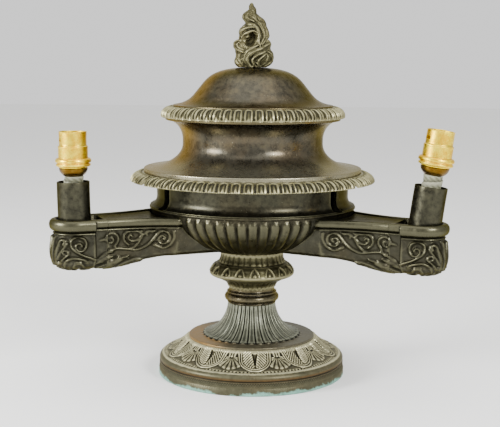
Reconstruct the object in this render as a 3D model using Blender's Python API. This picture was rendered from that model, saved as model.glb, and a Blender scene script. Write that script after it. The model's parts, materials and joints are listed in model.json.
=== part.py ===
"""A colza lamp in cast and turned bronze, later fitted for electric light.

The lamp stands on z = 0 with its axis on the origin and its front towards -Y. Two arms, swept forward,
carry an open burner tube each, and in each tube stands a brass bayonet lampholder on a tape-wrapped stem.
Sizes are in millimetres and degrees, and are turned to metres where the meshes are made.
"""
import math

import bmesh
import bpy
from mathutils import Matrix, Vector

MM = 0.001
GAP = 0.3  # clearance between pieces that touch

# Foot
FOOT_R = 95.5
FOOT_EDGE_H = 5.5  # plain band at the very bottom
FRIEZE_H = 7.7
FRIEZE_STEP = 0.6
TORUS_H = 7.4
TORUS_SETBACK = 3.5  # how far the torus leans in from its foot to its top
LEAF_BAND_RISE = 16.4
FOOT_TOP_R = 66.0
FOOT_BORE_R = 40.0
FOOT_WALL = 4.5
LEAF_BAND_SAG = 2.8  # the band is slightly hollow
LEAF_COUNT = 10
LEAF_RISE = 1.6
LEAF_SINK = 0.8

# Fluted stem
STEM_RING_R = 64.6
STEM_RING_H = 2.0
STEM_H = 35.0
STEM_TOP_R = 23.2
STEM_WALL = 4.5
FLUTE_COUNT = 36
FLUTE_END_R = 49.5
FLUTE_DEPTH = 1.5

# Bead between stem and knop
BEAD_H = 15.4
BEAD_R = 27.9
BEAD_FILLET_R = 24.8
BORE_R = 12.0  # the screw bore through bead and knop

# Leaf knop
KNOP_H = 38.7
KNOP_R = 43.3
KNOP_NECK_R = 23.6
KNOP_TOP_R = 31.0
KNOP_ARCHES = 17
KNOP_RELIEF = 1.1

# Bowl
BOWL_R = 103.0  # at the bottom of the grooves
BOWL_DEPTH = 46.3
BOWL_CURVE_DEPTH = 47.8  # half height of the ellipse that the curve belongs to
BOWL_FOOT_R = 31.5
BOWL_WALL = 5.0
BOWL_LIP_H = 2.0
BOWL_LIP_OUT = 1.6
GADROON_SLOTS = 60
GADROON_RISE = 2.3
# Depths below the top as shares of the curve's depth, with the share of the gadroons' relief there
BOWL_ROWS = ((0.97, 0.4), (0.76, 0.9), (0.42, 1.0), (0.1, 0.8))

# Neck above the bowl
NECK_H = 30.6
NECK_STEP_IN = 6.0
NECK_FLARE_OUT = 0.8
NECK_R = BOWL_R - NECK_STEP_IN
NECK_FLARE_R = BOWL_R + NECK_FLARE_OUT
NECK_FLARE_H = 10.0
NECK_WALL = 3.5
NECK_SLOT_W = 11.0
NECK_TOP_BAND = 5.5  # what is left above each slot

# Lower gadroon collar
COLLAR_R = 124.2
COLLAR_SHOULDER_R = 111.3
COLLAR_LEDGE = 3.5  # how far the flange reaches in over the neck's edge
COLLAR_BORE_R = NECK_R - COLLAR_LEDGE
COLLAR_DROP = 8.2
COLLAR_T = 2.5
COLLAR_GADROONS = 64
COLLAR_RELIEF = 0.8
NOTCH_AZ = 57.0  # from the front; the slot in the neck stands behind the notch
NOTCH_W = 11.5
NOTCH_APEX_R = 113.5

# Reservoir
DISC_R = 110.1
DISC_EDGE_H = 4.4
WAIST_R = 70.9
WAIST_Z = 28.5  # above the reservoir's underside
WAIST_H = 4.0
LIP_R = 88.4
RESERVOIR_H = 54.6
LIP_EDGE_H = 2.4
RESERVOIR_WALL = 3.7
RESERVOIR_BORE_R = 92.0

# Upper gadroon ring
RING_R = 92.5
RING_TOP_R = 81.5
RING_BORE_R = 76.0
RING_H = 10.7
RING_GADROONS = 56
RING_RELIEF = 0.7

# Dome lid
DOME_R = 80.7
DOME_EDGE_H = 1.3
DOME_H = 38.3
DOME_WALL = 3.0

# Flame finial
FLAME_H = 64.2
FLAME_R = 20.6

# Arms
ARM_AZ = 62.0  # each arm's middle line, from the front
ARM_TOP_Z = 169.8
ARM_ROOT_HALF_W = 39.0
ARM_SEAM_HALF_W = 24.2
ARM_FLARE_S = 97.0  # distance from the axis where the arm is at its root width
ARM_SEAM_S = 162.3
ARM_KEEL_ROOT_Z = 129.8
ARM_KEEL_END_Z = 121.0
ARM_KEEL_DROP_S = 98.0  # where the underside starts to drop towards the nozzle end
ARM_WALL = 4.0
RAIL_W = 5.0
RAIL_OVERHANG = 1.3
RAIL_H = 9.5
COVER_T = 2.2
COVER_DISH = 1.4
COVER_REBATE = 3.5
COVER_END_GAP = 3.0  # the plate stops short of the seam

# Nozzle ends
NOZZLE_S = 187.0  # the burner tube's middle line, from the lamp's axis
NOZZLE_R = 21.6
NOZZLE_SEAM_HALF_W = 24.4
NOZZLE_SWELL = 2.2  # how far the carved body stands out past the rail's line
NOZZLE_BORE_R = 18.0
SEAT_Z = 147.0  # the shelf that the tube stands on
SEAT_T = 4.0

# Burner tubes, tape-wrapped stems and lampholders
TUBE_R = 15.7
TUBE_WALL = 1.3
TUBE_TOP_Z = 204.8
LEFT_TUBE_LEAN = 1.4
RIGHT_TUBE_LEAN = 7.5
LEFT_HOLDER_LEAN = 0.6
RIGHT_HOLDER_LEAN = 8.0
LEAN_PIVOT_Z = 158.0
TAPE_R = 9.6
LEFT_TAPE_TOP_H = 52.0  # the tape's top above the lean pivot
RIGHT_TAPE_TOP_H = 57.5
CAP_R = 13.6
CAP_H = 7.5
HOLDER_R = 13.0
HOLDER_SKIRT_R = 14.0
HOLDER_SKIRT_H = 20.0
HOLDER_H = 34.0
HOLDER_WALL = 0.9
HOLDER_FLOOR = 12.0
SHADE_RING_R = 17.1
SHADE_RING_H = 8.0

# Scrolls on the arms and nozzle ends
SCROLL_R = 8.2
SCROLL_TURNS = 1.15
SCROLL_SPACING = 24.0  # between the two eyes of each arm's S-scroll
SCROLL_FROM_BOWL = 4.5
SCROLL_S = BOWL_R + SCROLL_FROM_BOWL  # the inner eye
SCROLL_Z = 147.0
SCROLL_RIBBON_W = 3.0
SCROLL_RISE = 2.4
NOZZLE_SCROLL_R = 7.6
NOZZLE_SCROLL_Z = 143.0
NOZZLE_SCROLL_RUN = 22.0  # from the seam, along the nozzle end's side

# Columns around the turned pieces
PLAIN_COLUMNS = 26
INNER_COLUMNS = 14
SMALL_COLUMNS = 11


def material(name, srgb, roughness, metallic):
    """A plain finish from an sRGB colour."""
    made = bpy.data.materials.new(name)
    made.use_nodes = True
    shader = made.node_tree.nodes["Principled BSDF"]
    linear = [(c / 255.0) ** 2.2 for c in srgb]
    shader.inputs["Base Color"].default_value = (*linear, 1.0)
    shader.inputs["Roughness"].default_value = roughness
    shader.inputs["Metallic"].default_value = metallic
    return made


def lerp(a, b, t):
    return a + (b - a) * t


def bezier(p0, p1, p2, p3, count):
    """Points along a cubic curve, ends included."""
    points = []
    for i in range(count + 1):
        t = i / count
        weights = ((1 - t) ** 3, 3 * t * (1 - t) ** 2, 3 * t * t * (1 - t), t ** 3)
        points.append(tuple(sum(w * p[k] for w, p in zip(weights, (p0, p1, p2, p3))) for k in (0, 1)))
    return points


def quarter(start, end, count, flat_first):
    """A quarter ellipse between two profile points, level at one end and upright at the other."""
    points = []
    for i in range(count + 1):
        angle = 0.5 * math.pi * i / count
        a, b = math.sin(angle), 1 - math.cos(angle)
        if not flat_first:
            a, b = b, a
        points.append((lerp(start[0], end[0], a), lerp(start[1], end[1], b)))
    return points


def polar(radius, azimuth, z):
    """A point by radius and azimuth, where azimuth 0 is the front (-Y) and 90 is +X."""
    angle = math.radians(azimuth)
    return (radius * math.sin(angle), -radius * math.cos(angle), z)


def circle(radius, z, count):
    return [polar(radius, 360.0 * i / count, z) for i in range(count)]


def pole(z):
    return [(0.0, 0.0, z)]


def rippled(points, count, rise, sink):
    """Loops of 2 * count columns along profile points: odd columns stand out and even ones lie in.

    Each profile point comes with a share of the relief, along the profile's normal.
    """
    loops = []
    for k, (radius, z, share) in enumerate(points):
        before = points[max(k - 1, 0)]
        after = points[min(k + 1, len(points) - 1)]
        run, climb = after[0] - before[0], after[1] - before[1]
        length = math.hypot(run, climb)
        nr, nz = climb / length, -run / length
        if nr < 0 or (abs(nr) < 1e-6 and nz < 0):
            nr, nz = -nr, -nz
        loop = []
        for i in range(2 * count):
            lift = (rise if i % 2 else -sink) * share
            loop.append(polar(radius + nr * lift, 180.0 * i / count, z + nz * lift))
        loops.append(loop)
    return loops


def join_loops(bm, a, b, closed=True):
    """Faces between two rows of vertices; rows of different counts are joined by triangles in step."""
    n, m = len(a), len(b)
    steps_a, steps_b = (n, m) if closed else (n - 1, m - 1)
    if n == m:
        for i in range(steps_a):
            bm.faces.new((a[i], a[(i + 1) % n], b[(i + 1) % m], b[i]))
        return
    i = j = 0
    while i < steps_a or j < steps_b:
        if n == 1:
            bm.faces.new((a[0], b[(j + 1) % m], b[j % m]))
            j += 1
            i = 1 if j >= m else 0
        elif m == 1:
            bm.faces.new((a[i % n], a[(i + 1) % n], b[0]))
            i += 1
            j = 1 if i >= n else 0
        elif j >= steps_b or (i < steps_a and abs((i + 1) * steps_b - j * steps_a)
                              <= abs(i * steps_b - (j + 1) * steps_a)):
            bm.faces.new((a[i % n], a[(i + 1) % n], b[j % m]))
            i += 1
        else:
            bm.faces.new((a[i % n], b[(j + 1) % m], b[j % m]))
            j += 1


def add_object(name, bm, finish=None, matrix=None, smooth_below=32.0):
    """Turns a mesh in millimetres into a named object in metres."""
    bmesh.ops.remove_doubles(bm, verts=bm.verts[:], dist=1e-4)
    bmesh.ops.recalc_face_normals(bm, faces=bm.faces[:])
    bmesh.ops.scale(bm, vec=(MM, MM, MM), verts=bm.verts[:])
    mesh = bpy.data.meshes.new(name)
    bm.to_mesh(mesh)
    bm.free()
    if finish is not None:
        mesh.materials.append(finish)
    mesh.shade_smooth()
    mesh.set_sharp_from_angle(angle=math.radians(smooth_below))
    made = bpy.data.objects.new(name, mesh)
    if matrix is not None:
        made.matrix_world = matrix
    bpy.context.scene.collection.objects.link(made)
    return made


def solid(name, loops, finish, ring_section, matrix=None):
    """A closed solid skinned over loops; ring_section closes the last loop back onto the first."""
    bm = bmesh.new()
    rows = [[bm.verts.new(p) for p in loop] for loop in loops]
    for a, b in zip(rows, rows[1:]):
        join_loops(bm, a, b)
    if ring_section:
        join_loops(bm, rows[-1], rows[0])
    return add_object(name, bm, finish, matrix)


def boolean(target, cutter, operation):
    """Applies a hidden helper to a piece through a Boolean modifier."""
    cutter.hide_render = True
    cutter.display_type = "WIRE"
    change = target.modifiers.new(cutter.name, "BOOLEAN")
    change.operation = operation
    change.object = cutter


# Heights of the stack, from the foot up
FRIEZE_TOP_Z = FOOT_EDGE_H + FRIEZE_H
TORUS_TOP_Z = FRIEZE_TOP_Z + TORUS_H
FOOT_TOP_Z = TORUS_TOP_Z + LEAF_BAND_RISE
STEM_Z = FOOT_TOP_Z + GAP
BEAD_Z = STEM_Z + STEM_H + GAP
KNOP_Z = BEAD_Z + BEAD_H + GAP
BOWL_Z = KNOP_Z + KNOP_H + GAP
BOWL_TOP_Z = BOWL_Z + BOWL_DEPTH
NECK_Z = BOWL_TOP_Z + GAP
COLLAR_Z = NECK_Z + NECK_H + GAP
RESERVOIR_Z = COLLAR_Z + COLLAR_T + GAP
RING_Z = RESERVOIR_Z + RESERVOIR_H + GAP
DOME_Z = RING_Z + RING_H + GAP
FLAME_Z = DOME_Z + DOME_H + GAP


def leaf_relief(azimuth, v):
    """Height of the leaf band: broad round-ended leaves with a sunk rib, and lower darts between."""
    half_pitch = 180.0 / LEAF_COUNT
    offset = abs((azimuth + half_pitch) % (2 * half_pitch) - half_pitch) / half_pitch
    edge = 0.82 * min(1.0, math.sqrt(v / 0.4))
    if offset > edge or v <= 0.0:
        return -LEAF_SINK * math.sin(math.pi * min(v, 1.0))
    rib = 1.0 if offset < 0.1 and v > 0.3 else 0.0
    return LEAF_RISE * (1.0 - 0.5 * v) - rib * (LEAF_RISE + LEAF_SINK) * 0.7


def build_foot(finish):
    step_r = FOOT_R - FRIEZE_STEP
    torus_top_r = FOOT_R - TORUS_SETBACK
    outer = [
        (FOOT_R, 0.0), (FOOT_R, FOOT_EDGE_H), (step_r, FOOT_EDGE_H + FRIEZE_STEP),
        (step_r, FRIEZE_TOP_Z - 0.4), (step_r - 1.0, FRIEZE_TOP_Z + 0.4),
        (FOOT_R - 0.6, FRIEZE_TOP_Z + 0.45 * TORUS_H),
        (torus_top_r, TORUS_TOP_Z),
    ]
    loops = [circle(r, z, PLAIN_COLUMNS) for r, z in outer]
    rows, columns = 4, 6 * LEAF_COUNT
    band_r, slope = torus_top_r - 1.2, math.atan2(LEAF_BAND_RISE, torus_top_r - FOOT_TOP_R)
    for row in range(rows):
        v = row / (rows - 1)
        sag = LEAF_BAND_SAG * math.sin(math.pi * v)
        loop = []
        for i in range(columns):
            azimuth = 360.0 * i / columns
            lift = leaf_relief(azimuth, v) - sag
            radius = lerp(band_r, FOOT_TOP_R, v) + lift * math.sin(slope)
            loop.append(polar(radius, azimuth, lerp(TORUS_TOP_Z + 0.3, FOOT_TOP_Z - 0.4, v)
                              + lift * math.cos(slope)))
        loops.append(loop)
    inner = [
        (STEM_RING_R - 1.5, FOOT_TOP_Z), (FOOT_BORE_R, FOOT_TOP_Z), (FOOT_BORE_R, FOOT_TOP_Z - FOOT_WALL),
        (FOOT_TOP_R - FOOT_WALL, FOOT_TOP_Z - FOOT_WALL - 2.5),
        (FOOT_R - 2.0 * FOOT_WALL, FRIEZE_TOP_Z), (FOOT_R - 1.3 * FOOT_WALL, 0.0),
    ]
    loops += [circle(r, z, INNER_COLUMNS) for r, z in inner]
    return solid("foot", loops, finish, True)


def build_fluted_stem(finish):
    ring_top = STEM_Z + STEM_RING_H
    loops = [circle(r, z, PLAIN_COLUMNS) for r, z in (
        (STEM_RING_R, STEM_Z), (STEM_RING_R - 0.3, ring_top), (FLUTE_END_R + 1.2, ring_top + 0.4))]
    top_z = STEM_Z + STEM_H
    curve = bezier((FLUTE_END_R, ring_top + 0.2), (0.72 * FLUTE_END_R, ring_top + 0.1 * STEM_H),
                   (1.07 * STEM_TOP_R, ring_top + 0.46 * STEM_H), (STEM_TOP_R, top_z), 3)
    shares = (0.5, 1.0, 0.6, 0.4)
    flutes = [(r, z, s) for (r, z), s in zip(curve, shares)]
    loops += rippled(flutes, FLUTE_COUNT, 0.35 * FLUTE_DEPTH, 0.65 * FLUTE_DEPTH)
    inner = ((STEM_TOP_R - STEM_WALL, top_z), (STEM_TOP_R - STEM_WALL, ring_top + 0.6 * STEM_H),
             (0.5 * FLUTE_END_R, ring_top + 0.25 * STEM_H), (FOOT_BORE_R, STEM_Z))
    loops += [circle(r, z, INNER_COLUMNS) for r, z in inner]
    return solid("fluted_stem", loops, finish, True)


def build_stem_bead(finish):
    top = BEAD_Z + BEAD_H
    torus_z, torus_h = BEAD_Z + 6.0, 3.9
    outer = [(BEAD_FILLET_R - 0.6, BEAD_Z), (BEAD_FILLET_R, BEAD_Z + 1.6)]
    for angle in (-55.0, 0.0, 55.0):
        outer.append((BEAD_R - 3.0 + 3.0 * math.cos(math.radians(angle)),
                      torus_z + torus_h * math.sin(math.radians(angle))))
    outer += [(BEAD_FILLET_R, top - 4.6), (BEAD_FILLET_R - 0.4, top - 3.2), (KNOP_NECK_R - 0.2, top)]
    loops = [circle(r, z, INNER_COLUMNS) for r, z in outer]
    loops += [circle(BORE_R, z, SMALL_COLUMNS) for z in (top, BEAD_Z)]
    return solid("stem_bead", loops, finish, True)


def build_leaf_knop(finish):
    """Small calyx, smooth lip, a row of arched leaves and a collar of petals."""
    calyx = [(KNOP_NECK_R, 0.0, 0.0), (0.6 * KNOP_R, 0.17, 0.5), (0.83 * KNOP_R, 0.27, 0.2)]
    lip = [(KNOP_R, 0.42, 0.0)]
    arches = [(0.965 * KNOP_R, 0.5, 0.2), (0.925 * KNOP_R, 0.575, 1.0), (0.86 * KNOP_R, 0.63, 0.2)]
    petals = [(KNOP_TOP_R + 3.2, 0.68, 0.6), (KNOP_TOP_R, 0.8, 0.6), (KNOP_TOP_R, 1.0, 0.0)]
    points = [(r, KNOP_Z + KNOP_H * v, share) for r, v, share in calyx + lip + arches + petals]
    loops = rippled(points, KNOP_ARCHES, KNOP_RELIEF, KNOP_RELIEF)
    loops += [circle(BORE_R, z, SMALL_COLUMNS) for z in (KNOP_Z + KNOP_H, KNOP_Z)]
    return solid("leaf_knop", loops, finish, True)


def bowl_radius(z):
    """The bowl's outer surface in the grooves, below its lip."""
    drop = (BOWL_TOP_Z - 0.4 * BOWL_LIP_H - z) / BOWL_CURVE_DEPTH
    return BOWL_R * math.sqrt(1.0 - min(max(drop, 0.0), 0.98) ** 2)


def gadroon_columns():
    """Column azimuths of the bowl with their share of relief; the bowl is plain behind the arms."""
    pitch = 360.0 / GADROON_SLOTS
    arm_reach = math.degrees(math.asin(ARM_ROOT_HALF_W / BOWL_R)) + 1.0
    columns = []
    for k in range(GADROON_SLOTS):
        columns.append((k * pitch, 0.0))
        middle = (k + 0.5) * pitch
        offset = min(middle, 360.0 - middle)
        if abs(offset - ARM_AZ) > arm_reach + 0.5 * pitch:
            columns.append((middle, 1.0))
    return columns


def bowl_outside(extra):
    """Loops of the gadrooned outside up to the top edge, moved out by a clearance."""
    columns = gadroon_columns()
    lip_z = BOWL_TOP_Z - BOWL_LIP_H
    loops = [circle(BOWL_FOOT_R - 1.0 + extra, BOWL_Z - extra, INNER_COLUMNS)]
    for drop, share in BOWL_ROWS:
        z = min(max(BOWL_TOP_Z - drop * BOWL_CURVE_DEPTH, BOWL_Z + 0.4), lip_z)
        loop = []
        for azimuth, on_ridge in columns:
            lift = GADROON_RISE * share * on_ridge
            radius = bowl_radius(z) + extra + lift * (1.0 - 0.5 * drop)
            loop.append(polar(radius, azimuth, z - extra * drop - 0.6 * lift * drop))
        loops.append(loop)
    lip_r = BOWL_R + BOWL_LIP_OUT + extra
    return loops + [circle(lip_r, lip_z - extra, PLAIN_COLUMNS), circle(lip_r, BOWL_TOP_Z, PLAIN_COLUMNS)]


def build_bowl(finish):
    inner = []
    for k in range(4):
        angle = math.radians(22.0 * k)
        inner.append((math.cos(angle) * (BOWL_R - BOWL_WALL),
                      BOWL_TOP_Z - math.sin(angle) * (BOWL_DEPTH - BOWL_WALL)))
    loops = [pole(BOWL_Z)] + bowl_outside(0.0)
    loops += [circle(r, z, INNER_COLUMNS) for r, z in inner]
    loops.append(pole(BOWL_Z + BOWL_WALL))
    return solid("bowl", loops, finish, False)


def build_bowl_cutter(name):
    """The bowl's outside, a clearance larger, which trims an arm's root."""
    loops = [pole(BOWL_Z - GAP)] + bowl_outside(GAP) + [pole(BOWL_TOP_Z)]
    return solid(name, loops, None, False)


def box_at_azimuth(name, azimuth, near_r, far_r, width, low_z, high_z, apex_r=None):
    """An upright cutter box pointing outwards, or a wedge where apex_r gives its sharp inner end."""
    if apex_r is None:
        plan = [(near_r, -width / 2), (far_r, -width / 2), (far_r, width / 2), (near_r, width / 2)]
    else:
        plan = [(apex_r, 0.0), (far_r, -width / 2), (far_r, width / 2)]
    angle = math.radians(azimuth)
    out = Vector((math.sin(angle), -math.cos(angle), 0.0))
    across = Vector((math.cos(angle), math.sin(angle), 0.0))
    bm = bmesh.new()
    rows = []
    for z in (low_z, high_z):
        rows.append([bm.verts.new(out * r + across * w + Vector((0.0, 0.0, z))) for r, w in plan])
    join_loops(bm, rows[0], rows[1])
    bm.faces.new(rows[0])
    bm.faces.new(rows[1])
    return add_object(name, bm)


def build_neck(finish):
    outer = quarter((NECK_FLARE_R, NECK_Z + 0.8), (NECK_R, NECK_Z + NECK_FLARE_H), 2, True)
    outer = [(NECK_FLARE_R, NECK_Z)] + outer + [(NECK_R + 0.4, NECK_Z + NECK_H)]
    loops = [circle(r, z, PLAIN_COLUMNS) for r, z in outer]
    bore = NECK_R - NECK_WALL
    loops += [circle(bore, z, PLAIN_COLUMNS) for z in (NECK_Z + NECK_H, NECK_Z)]
    neck = solid("neck", loops, finish, True)
    for side, label in ((-1, "left"), (1, "right")):
        slot = box_at_azimuth(label + "_slot_cutter", side * NOTCH_AZ, bore - 12.0, NECK_FLARE_R + 8.0,
                              NECK_SLOT_W, NECK_Z - 3.0, NECK_Z + NECK_H - NECK_TOP_BAND)
        boolean(neck, slot, "DIFFERENCE")
    return neck


def build_collar(finish):
    """A thin drooping skirt of gadroons on a level flange, notched over each arm."""
    top = COLLAR_Z + COLLAR_T
    edge_z = top - COLLAR_DROP
    loops = [circle(COLLAR_BORE_R, COLLAR_Z, PLAIN_COLUMNS), circle(COLLAR_BORE_R, top, PLAIN_COLUMNS),
             circle(COLLAR_SHOULDER_R, top, PLAIN_COLUMNS)]
    curve = bezier((COLLAR_SHOULDER_R, top - 0.2), (lerp(COLLAR_SHOULDER_R, COLLAR_R, 0.5), top - 0.4),
                   (COLLAR_R - 1.6, lerp(edge_z, top, 0.55)), (COLLAR_R - COLLAR_RELIEF, edge_z), 2)
    loops += rippled([(r, z, s) for (r, z), s in zip(curve[1:], (1.0, 0.7))], COLLAR_GADROONS,
                     COLLAR_RELIEF, COLLAR_RELIEF)
    loops += [circle(r, z, PLAIN_COLUMNS) for r, z in (
        (COLLAR_R - 4.2, edge_z + 0.5), (COLLAR_SHOULDER_R - 4.0, COLLAR_Z))]
    collar = solid("lower_gadroon_collar", loops, finish, True)
    for side, label in ((-1, "left"), (1, "right")):
        notch = box_at_azimuth(label + "_notch_cutter", side * NOTCH_AZ, 0.0, COLLAR_R + 3.0, NOTCH_W,
                               edge_z - 6.0, top + 6.0, apex_r=NOTCH_APEX_R)
        boolean(collar, notch, "DIFFERENCE")
    return collar


def build_reservoir(finish):
    top = RESERVOIR_Z + RESERVOIR_H
    waist_z = RESERVOIR_Z + WAIST_Z
    outer = [(DISC_R, RESERVOIR_Z)]
    outer += quarter((DISC_R - 0.6, RESERVOIR_Z + DISC_EDGE_H), (WAIST_R, waist_z), 4, True)
    outer += quarter((WAIST_R, waist_z + WAIST_H), (LIP_R - 0.6, top - LIP_EDGE_H), 3, False)
    outer += [(LIP_R, top - LIP_EDGE_H + 0.5), (LIP_R, top)]
    loops = [circle(r, z, PLAIN_COLUMNS) for r, z in outer]
    inner_waist = WAIST_R - RESERVOIR_WALL
    inner = ((LIP_R - RESERVOIR_WALL, top), (inner_waist + 4.0, top - LIP_EDGE_H - RESERVOIR_WALL),
             (inner_waist, waist_z + 0.5 * WAIST_H),
             (lerp(inner_waist, RESERVOIR_BORE_R, 0.32), lerp(RESERVOIR_Z, waist_z, 0.46)),
             (RESERVOIR_BORE_R, RESERVOIR_Z + RESERVOIR_WALL), (RESERVOIR_BORE_R, RESERVOIR_Z))
    loops += [circle(r, z, INNER_COLUMNS) for r, z in inner]
    return solid("reservoir", loops, finish, True)


def build_upper_ring(finish):
    top = RING_Z + RING_H
    loops = [circle(RING_BORE_R, RING_Z, PLAIN_COLUMNS)]
    points = [(RING_R - RING_RELIEF, RING_Z, 0.3), (lerp(RING_TOP_R, RING_R, 0.85), RING_Z + 0.62 * RING_H, 1.0)]
    loops += rippled(points, RING_GADROONS, RING_RELIEF, RING_RELIEF)
    loops.append(circle(RING_TOP_R, top, PLAIN_COLUMNS))
    loops.append(circle(RING_BORE_R, top, PLAIN_COLUMNS))
    return solid("upper_gadroon_ring", loops, finish, True)


def dome_curve(inset):
    """The lid's ogee from its flange to its flat top, moved in by a wall thickness."""
    low, high = DOME_Z + DOME_EDGE_H + 0.2, DOME_Z + DOME_H
    bend = (0.68 * DOME_R - inset, lerp(low, high, 0.44) - 0.3 * inset)
    hollow = bezier((DOME_R - 1.8 - inset, low - 0.4 * inset), (0.78 * DOME_R - inset, lerp(low, high, 0.08) - 0.6 * inset),
                    (0.75 * DOME_R - inset, lerp(low, high, 0.27) - 0.4 * inset), bend, 3)
    crown = bezier(bend, (0.605 * DOME_R - inset, lerp(low, high, 0.63) - 0.3 * inset),
                   (0.546 * DOME_R - inset, lerp(low, high, 0.95) - inset), (0.18 * DOME_R, high - inset), 3)
    return hollow + crown[1:]


def build_dome(finish):
    loops = [circle(r, z, PLAIN_COLUMNS) for r, z in
             [(DOME_R, DOME_Z), (DOME_R, DOME_Z + DOME_EDGE_H)] + dome_curve(0.0)]
    loops.append(pole(DOME_Z + DOME_H))
    outside = loops[::-1]
    inside = [circle(0.81 * DOME_R, DOME_Z, INNER_COLUMNS)]
    inside += [circle(r, z, INNER_COLUMNS) for r, z in dome_curve(DOME_WALL)[1::2]]
    inside.append(pole(DOME_Z + DOME_H - DOME_WALL))
    return solid("dome_lid", outside + inside, finish, False)


def flame_loop(share, count):
    """One level of the flame: rising tongues that twist around a wavering middle line."""
    outline = ((0.0, 0.62, 0.0), (0.055, 0.93, 0.0), (0.19, 1.0, 0.0), (0.28, 0.92, 0.02), (0.37, 0.96, 0.0),
               (0.5, 0.79, 0.0), (0.63, 0.68, 0.0), (0.7, 0.54, 0.09), (0.76, 0.55, -0.02), (0.84, 0.37, -0.15),
               (0.93, 0.21, -0.1), (1.0, 0.1, -0.13))
    for (v0, r0, c0), (v1, r1, c1) in zip(outline, outline[1:]):
        if share <= v1:
            t = (share - v0) / (v1 - v0)
            break
    radius, lean_x = FLAME_R * lerp(r0, r1, t), FLAME_R * lerp(c0, c1, t)
    twist = 250.0 * share
    points = []
    for i in range(count):
        azimuth = 360.0 * i / count
        lobes = 0.93 + 0.12 * math.cos(math.radians(4 * azimuth - twist)) \
            + 0.05 * math.cos(math.radians(3 * azimuth + 0.6 * twist))
        x, y, z = polar(radius * lobes, azimuth, FLAME_Z + FLAME_H * share)
        points.append((x + lean_x, y, z))
    return points


def build_flame(finish):
    levels = (0.0, 0.055, 0.13, 0.2, 0.28, 0.36, 0.44, 0.53, 0.62, 0.7, 0.77, 0.85, 0.94)
    loops = [pole(FLAME_Z)] + [flame_loop(v, 14) for v in levels]
    tip = flame_loop(1.0, 1)[0]
    loops.append([(tip[0], tip[1], FLAME_Z + FLAME_H)])
    return solid("flame_finial", loops, finish, False)


# Arms: s runs out along the arm's middle line, w across it (positive to the back) and z up
def arm_point(side, s, w, z):
    angle = math.radians(ARM_AZ)
    x = s * math.sin(angle) + w * math.cos(angle)
    y = -s * math.cos(angle) + w * math.sin(angle)
    return (side * x, y, z)


def arm_half_width(s):
    inward = min(max((ARM_SEAM_S - s) / (ARM_SEAM_S - ARM_FLARE_S), 0.0), 1.0)
    return lerp(ARM_SEAM_HALF_W, ARM_ROOT_HALF_W, inward ** 2)


def keel_z(s):
    t = min(max((s - ARM_KEEL_DROP_S) / (ARM_SEAM_S - ARM_KEEL_DROP_S), 0.0), 1.0)
    return lerp(ARM_KEEL_ROOT_Z, ARM_KEEL_END_Z, t * t * (3.0 - 2.0 * t))


def outer_section(half_w, keel):
    """Half of an arm's section, from the rail's inner top edge round to the keel, as (w, z)."""
    top, wall_h = ARM_TOP_Z, ARM_TOP_Z - RAIL_H - keel
    return [
        (half_w - RAIL_W, top), (half_w - 0.8, top), (half_w + RAIL_OVERHANG, top - 0.3 * RAIL_H),
        (half_w + 0.8 * RAIL_OVERHANG, top - 0.78 * RAIL_H), (half_w - 1.4, top - RAIL_H),
        (half_w - 2.4, keel + 0.55 * wall_h), (half_w - 6.0, keel + 0.18 * wall_h),
        (0.5 * half_w, keel + 0.03 * wall_h), (0.0, keel),
    ]


def nozzle_section(half_w, keel):
    """Half of the nozzle end's section: a moulded rail over a swelling body under leaf carving."""
    top = ARM_TOP_Z
    body = top - RAIL_H - keel
    return [
        (half_w - 0.8, top), (half_w + RAIL_OVERHANG, top - 0.3 * RAIL_H),
        (half_w + 0.8 * RAIL_OVERHANG, top - 0.78 * RAIL_H), (half_w - 0.6, top - RAIL_H),
        (half_w + NOZZLE_SWELL, keel + 0.66 * body), (half_w + 0.8 * NOZZLE_SWELL, keel + 0.36 * body),
        (half_w - 3.0, keel + 0.12 * body), (0.62 * half_w, keel + 0.01 * body), (0.0, keel),
    ]


def inner_section(half_w, keel):
    """Half of the trough's inside, from the rebate for the cover plate down to the keel."""
    top, wall_h = ARM_TOP_Z, ARM_TOP_Z - RAIL_H - keel
    return [
        (half_w - RAIL_W, top - COVER_REBATE), (half_w - RAIL_W - 2.2, top - COVER_REBATE),
        (half_w - 5.0 - ARM_WALL, keel + 0.3 * wall_h), (0.4 * half_w, keel + ARM_WALL),
        (0.0, keel + ARM_WALL),
    ]


def mirrored(half):
    """A half section and its mirror image as one path from the front side to the back side."""
    return [(-w, z) for w, z in half] + [(w, z) for w, z in half[-2::-1]]


def root_distance(w, reach):
    """Where a line along the arm comes within this distance of the lamp's axis."""
    return math.sqrt(max(reach ** 2 - w ** 2, 1.0))


def arm_row(side, section, s):
    """The section's points at a distance along the arm."""
    half = section(arm_half_width(s), keel_z(s))
    return [arm_point(side, s, w, z) for w, z in mirrored(half)]


def volute(centre_s, centre_z, radius, start, turns, count):
    """A spiral from its eye outwards, ending at the start angle; turns may be negative."""
    points = []
    for i in range(count + 1):
        t = i / count
        angle = math.radians(start) + 2.0 * math.pi * turns * (t - 1.0)
        r = radius * (0.22 + 0.78 * t)
        points.append((centre_s + r * math.cos(angle), centre_z + r * math.sin(angle)))
    return points


def build_ribbon(name, path, place):
    """A ridge that follows a path of (run, z) points; place(run, z, lift) puts a point over the surface."""
    bm = bmesh.new()
    rows = []
    for i, (run, z) in enumerate(path):
        before, after = path[max(i - 1, 0)], path[min(i + 1, len(path) - 1)]
        along = Vector((after[0] - before[0], after[1] - before[1])).normalized()
        taper = 1.0 if 0 < i < len(path) - 1 else 0.6
        half = 0.5 * SCROLL_RIBBON_W * taper
        corners = ((-half, -2.0), (0.0, SCROLL_RISE * taper), (half, -2.0))
        rows.append([bm.verts.new(place(run - along.y * c, z + along.x * c, lift)) for c, lift in corners])
    for a, b in zip(rows, rows[1:]):
        join_loops(bm, a, b)
    bm.faces.new(rows[0])
    bm.faces.new(rows[-1])
    return add_object(name, bm)


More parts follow.
